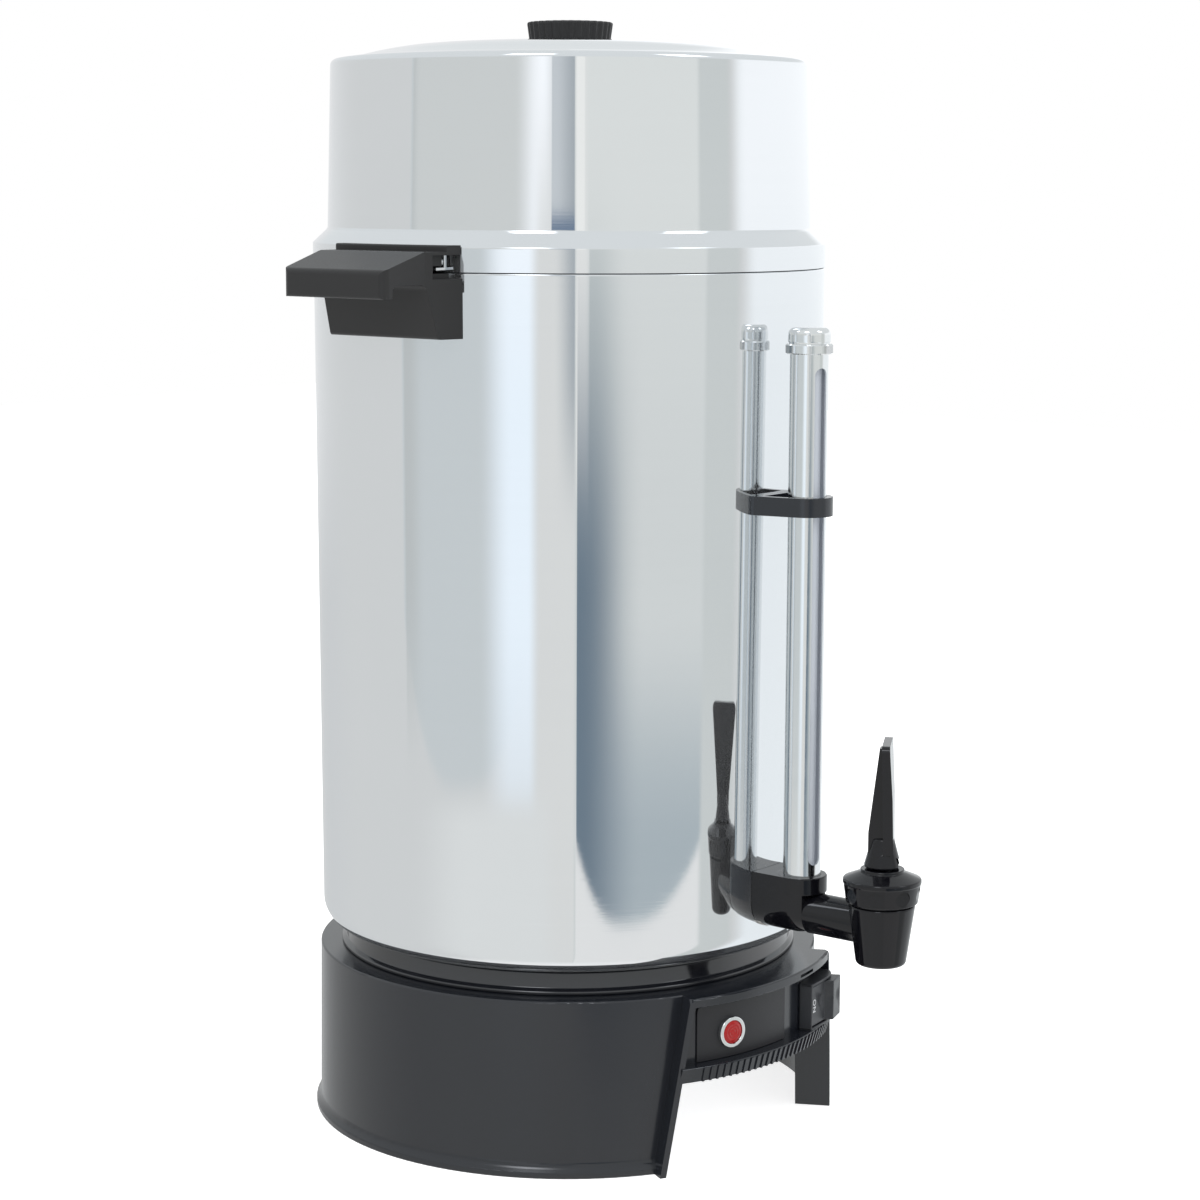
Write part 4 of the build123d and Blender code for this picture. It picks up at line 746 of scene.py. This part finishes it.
def makeGaugeCap(size):
    grip, low, columns = size["grip"], size["low"], size["columns"]
    crown = (0, size["high"] + 0.3)
    knurl = [
        (grip, low + size["firstRow"] + size["rowPitch"] * row) for row in range(size["rows"])
    ]
    # the first corner is rounded from inside, which leaves a fine groove above the band
    dome = eased(
        [
            crown,
            (size["radius"], size["band"] + 0.6, 0.2),
            (size["radius"], size["high"], 3.4),
            crown,
        ]
    )[3:]
    outline = (
        [(size["bore"], low), (grip - 0.3, low)]
        + knurl
        + [(grip - 0.3, size["band"]), (size["radius"] - 0.35, size["band"] + 0.15)]
        + dome
    )
    cap = turned("gaugeCap", outline, steps=columns, centre=gaugeAxis, closed=False)

    def raisedPoint(spot):
        away = spot.xy - Vector(gaugeAxis)
        row = (spot.z - low - size["firstRow"]) / size["rowPitch"]
        if abs(away.length - grip) > 0.05 or abs(row - round(row)) > 0.1:
            return False
        column = math.degrees(math.atan2(away.y, away.x)) / (360 / columns)
        return 0 <= round(row) < size["rows"] and (round(column) + round(row)) % 2 == 0

    pulled(cap, raisedPoint, size["points"], centre=gaugeAxis)
    settle(cap, smoothAngle=14)
    dress(cap, "gauge_cap", slotOfNode["gauge_cap"], "gauge_cap")


makeGaugeCap(gaugeCap)


# Gauge shield: a bright tube, cut open toward the front so that the glass shows
gaugeShield = {
    "outer": 9.6,
    "inner": 8.6,
    "low": 140.2,
    "high": 415.0,
    "slotHalf": 3.7,
    "slotLow": 154.0,
    "slotHigh": 405.0,
    "facing": -14,
    "cutDepth": 14,
    "endSteps": 24,
}


def makeGaugeShield(size):
    outline = [
        (size["inner"], size["low"]),
        (size["outer"], size["low"]),
        (size["outer"], size["high"]),
        (size["inner"], size["high"]),
    ]
    tube = turned("gaugeShield", outline, steps=160, centre=gaugeAxis)
    half, low, high = size["slotHalf"], size["slotLow"], size["slotHigh"]
    slot = []
    for middle, start in ((low + half, 180), (high - half, 0)):
        for step in range(size["endSteps"] + 1):
            angle = math.radians(start + 180 / size["endSteps"] * step)
            slot.append((half * math.cos(angle), middle + half * math.sin(angle)))
    cutter = slab("slotCutter", slot, size["cutDepth"])
    placed(cutter, (*gaugeAxis, 0), (90, 0, size["facing"]))
    carved(tube, cutter)
    settle(tube, smoothAngle=40)
    dress(tube, "urn", slotOfNode["gauge_shield"], "gauge_shield")
    axis = Vector(gaugeAxis)
    # The inside faces take a pale finish: painted light inside the tube, round the glass
    lined(tube, "shield_painted_light", lambda spot: (spot.xy - axis).length < size["inner"] + 0.1)


makeGaugeShield(gaugeShield)


# Round boss at the top of the block, which holds the shield's foot all the way round
shankBoss = {"inner": 9.66, "outer": 12.95, "low": 139.4, "high": 148.05}


def makeShankBoss(size):
    outline = eased(
        [
            (size["inner"], size["low"]),
            (size["outer"], size["low"], 0.4),
            (size["outer"], size["high"], 0.7),
            (size["inner"], size["high"], 0.3),
        ],
        arcSteps=5,
        support=0.1,
    )
    boss = turned("shankBoss", outline, steps=144, centre=gaugeAxis)
    dress(boss, "urn", slotOfNode["shank_block"])


makeShankBoss(shankBoss)
print("gauge made")


# Pilot lamp: a bright ring round a red lens with rings of facets, turned to face outward
pilotLamp = {
    "bearing": -13.8,
    "height": 69.0,
    "seat": 138.0,
    "ring": 8.1,
    "ringOut": 2.3,
    "lens": 6.0,
    "gap": 0.08,
    "facets": [(0.9, 2.7), (1.7, 2.35), (2.5, 2.65), (3.4, 2.3), (4.2, 2.55), (4.9, 2.2)],
    "facetMiddle": 2.5,
    "facetEdge": 1.7,
}


def makePilotLamp(size):
    bearing = math.radians(size["bearing"])
    spot = (size["seat"] * math.sin(bearing), -size["seat"] * math.cos(bearing), size["height"])
    turn = (90, 0, size["bearing"])
    bore = size["lens"] + size["gap"]
    outline = eased(
        [
            (bore, 0.0),
            (size["ring"], 0.0),
            (size["ring"], size["ringOut"], 0.5),
            (bore, size["ringOut"] + 0.1, 0.4),
        ],
        arcSteps=6,
        support=0.08,
    )
    ring = turned("lampRing", outline, steps=96)
    placed(ring, spot, turn)
    settle(ring, smoothAngle=40)
    dress(ring, "urn", slotOfNode["lamp_bezel"], "lamp_bezel")
    outline = (
        [(0, size["facetMiddle"])]
        + size["facets"]
        + [(size["lens"], size["facetEdge"]), (size["lens"], 0.0), (0, 0.0)]
    )
    lens = turned("lampLens", outline, steps=24, closed=False)
    placed(lens, spot, turn)
    settle(lens, smoothAngle=12)
    dress(lens, "urn", slotOfNode["lamp_lens"], "lamp_lens")


makePilotLamp(pilotLamp)
print("lamp made")


# The switch's place: its own x goes across the wall, y outward, and z down
switchPlace = {"bearing": 18.5, "height": 68.0, "seat": 136.1}


def switchFrame(size):
    bearing = math.radians(size["bearing"])
    outward = Vector((math.sin(bearing), -math.cos(bearing), 0))
    spot = outward * size["seat"] + Vector((0, 0, size["height"]))
    turn = Matrix(
        (
            (math.cos(bearing), outward.x, 0),
            (math.sin(bearing), outward.y, 0),
            (0, 0, -1),
        )
    ).to_4x4()
    return Matrix.Translation(spot * mm) @ turn


# Rocker: the pressed half carries the word, the other half stands out as a paddle.
# Its profile and its dimples are given across and out, and a dimple's third value is its lean.
switchRocker = {
    "half": 10.6,
    "edge": 0.45,
    "profile": [
        (-13.5, 0.1), (-13.5, 3.4), (-15.9, 3.4), (-15.9, 6.7), (-1.0, 9.3), (1.2, 13.7),
        (14.6, 13.7), (13.8, 9.6), (13.4, 7.3), (14.45, 4.1), (14.2, 2.9),
    ],
    "dimples": [(-5.1, 8.58, -9.9), (9.2, 13.7, 0)],
    "ball": 8.0,
    "dent": 0.85,
    "dentLevel": -1.5,
}


def makeRocker(size, place):
    rocker = slab("switchRocker", size["profile"], 2 * size["half"], -size["half"])
    bevelled(rocker, size["edge"], segments=3, angle=20)
    for across, out, lean in size["dimples"]:
        lean = math.radians(lean)
        outward = Vector((math.sin(lean), math.cos(lean)))
        centre = Vector((across, out)) + outward * (size["ball"] - size["dent"])
        bpy.ops.object.select_all(action="DESELECT")
        bpy.ops.mesh.primitive_uv_sphere_add(
            segments=96,
            ring_count=48,
            radius=size["ball"] * mm,
            location=(*(centre * mm), size["dentLevel"] * mm),
        )
        carved(rocker, bpy.context.active_object)
    rocker.matrix_world = place
    settle(rocker, smoothAngle=28)
    dress(rocker, "rocker", slotOfNode["switch_rocker"], "switch_rocker")


# Hood: thin plates above, below and left of the rocker, outlined across and out
switchHood = {
    "reach": 12.5,
    "plate": 1.4,
    "edge": 0.2,
    "outline": [
        (-16.9, 0.4), (-16.9, 6.9), (-16.3, 7.3), (-1.4, 10.0), (4.0, 10.6), (9.0, 10.2),
        (13.0, 8.6), (15.4, 5.6), (16.0, 0.4),
    ],
    "side": [(-16.9, 0.4), (-16.9, 6.9), (-16.2, 7.2), (-16.2, 0.4)],
}


def makeHood(size, place):
    reach, plate, inset = size["reach"], size["plate"], size["edge"]
    hood = slab("switchHood", size["outline"], plate, -reach)
    foot = slab("hoodFoot", size["outline"], plate, reach - plate)
    side = slab("hoodSide", size["side"], 2 * (reach - inset), inset - reach)
    for part in (hood, foot, side):
        bevelled(part, size["edge"], segments=2, angle=40)
    chooseAlone(hood)
    foot.select_set(True)
    side.select_set(True)
    bpy.ops.object.join()
    hood.matrix_world = place
    settle(hood, smoothAngle=28)
    dress(hood, "urn", slotOfNode["switch_housing"], look="switch_black")


# Word: it is read down the pressed face, with its top toward the paddle
switchWord = {"text": "ON", "across": -12.9, "out": 7.25, "lean": -9.9, "size": 4.5,
              "spacing": 1.1, "raised": 0.08}


def makeWord(size, place):
    bpy.ops.object.select_all(action="DESELECT")
    bpy.ops.object.text_add()
    letters = bpy.context.active_object
    letters.data.body = size["text"]
    letters.data.size = size["size"] * mm
    letters.data.align_x = "CENTER"
    letters.data.align_y = "CENTER"
    letters.data.extrude = size["raised"] * mm
    letters.data.space_character = size["spacing"]
    bpy.ops.object.convert(target="MESH")
    letters = bpy.context.active_object
    letters.name = letters.data.name = "switchWord"
    lean = math.radians(size["lean"])
    down = Vector((0, 0, 1))
    alongFace = Vector((math.cos(lean), -math.sin(lean), 0))
    outFace = Vector((math.sin(lean), math.cos(lean), 0))
    reading = Matrix((down, alongFace, outFace)).transposed().to_4x4()
    seat = Vector((size["across"], size["out"], 0)) * mm
    letters.matrix_world = place @ Matrix.Translation(seat) @ reading
    settle(letters, smoothAngle=30)
    dress(letters, "rocker", slotOfNode["switch_rocker"], look="letter_white")


makeRocker(switchRocker, switchFrame(switchPlace))
makeHood(switchHood, switchFrame(switchPlace))
makeWord(switchWord, switchFrame(switchPlace))
print("switch made")
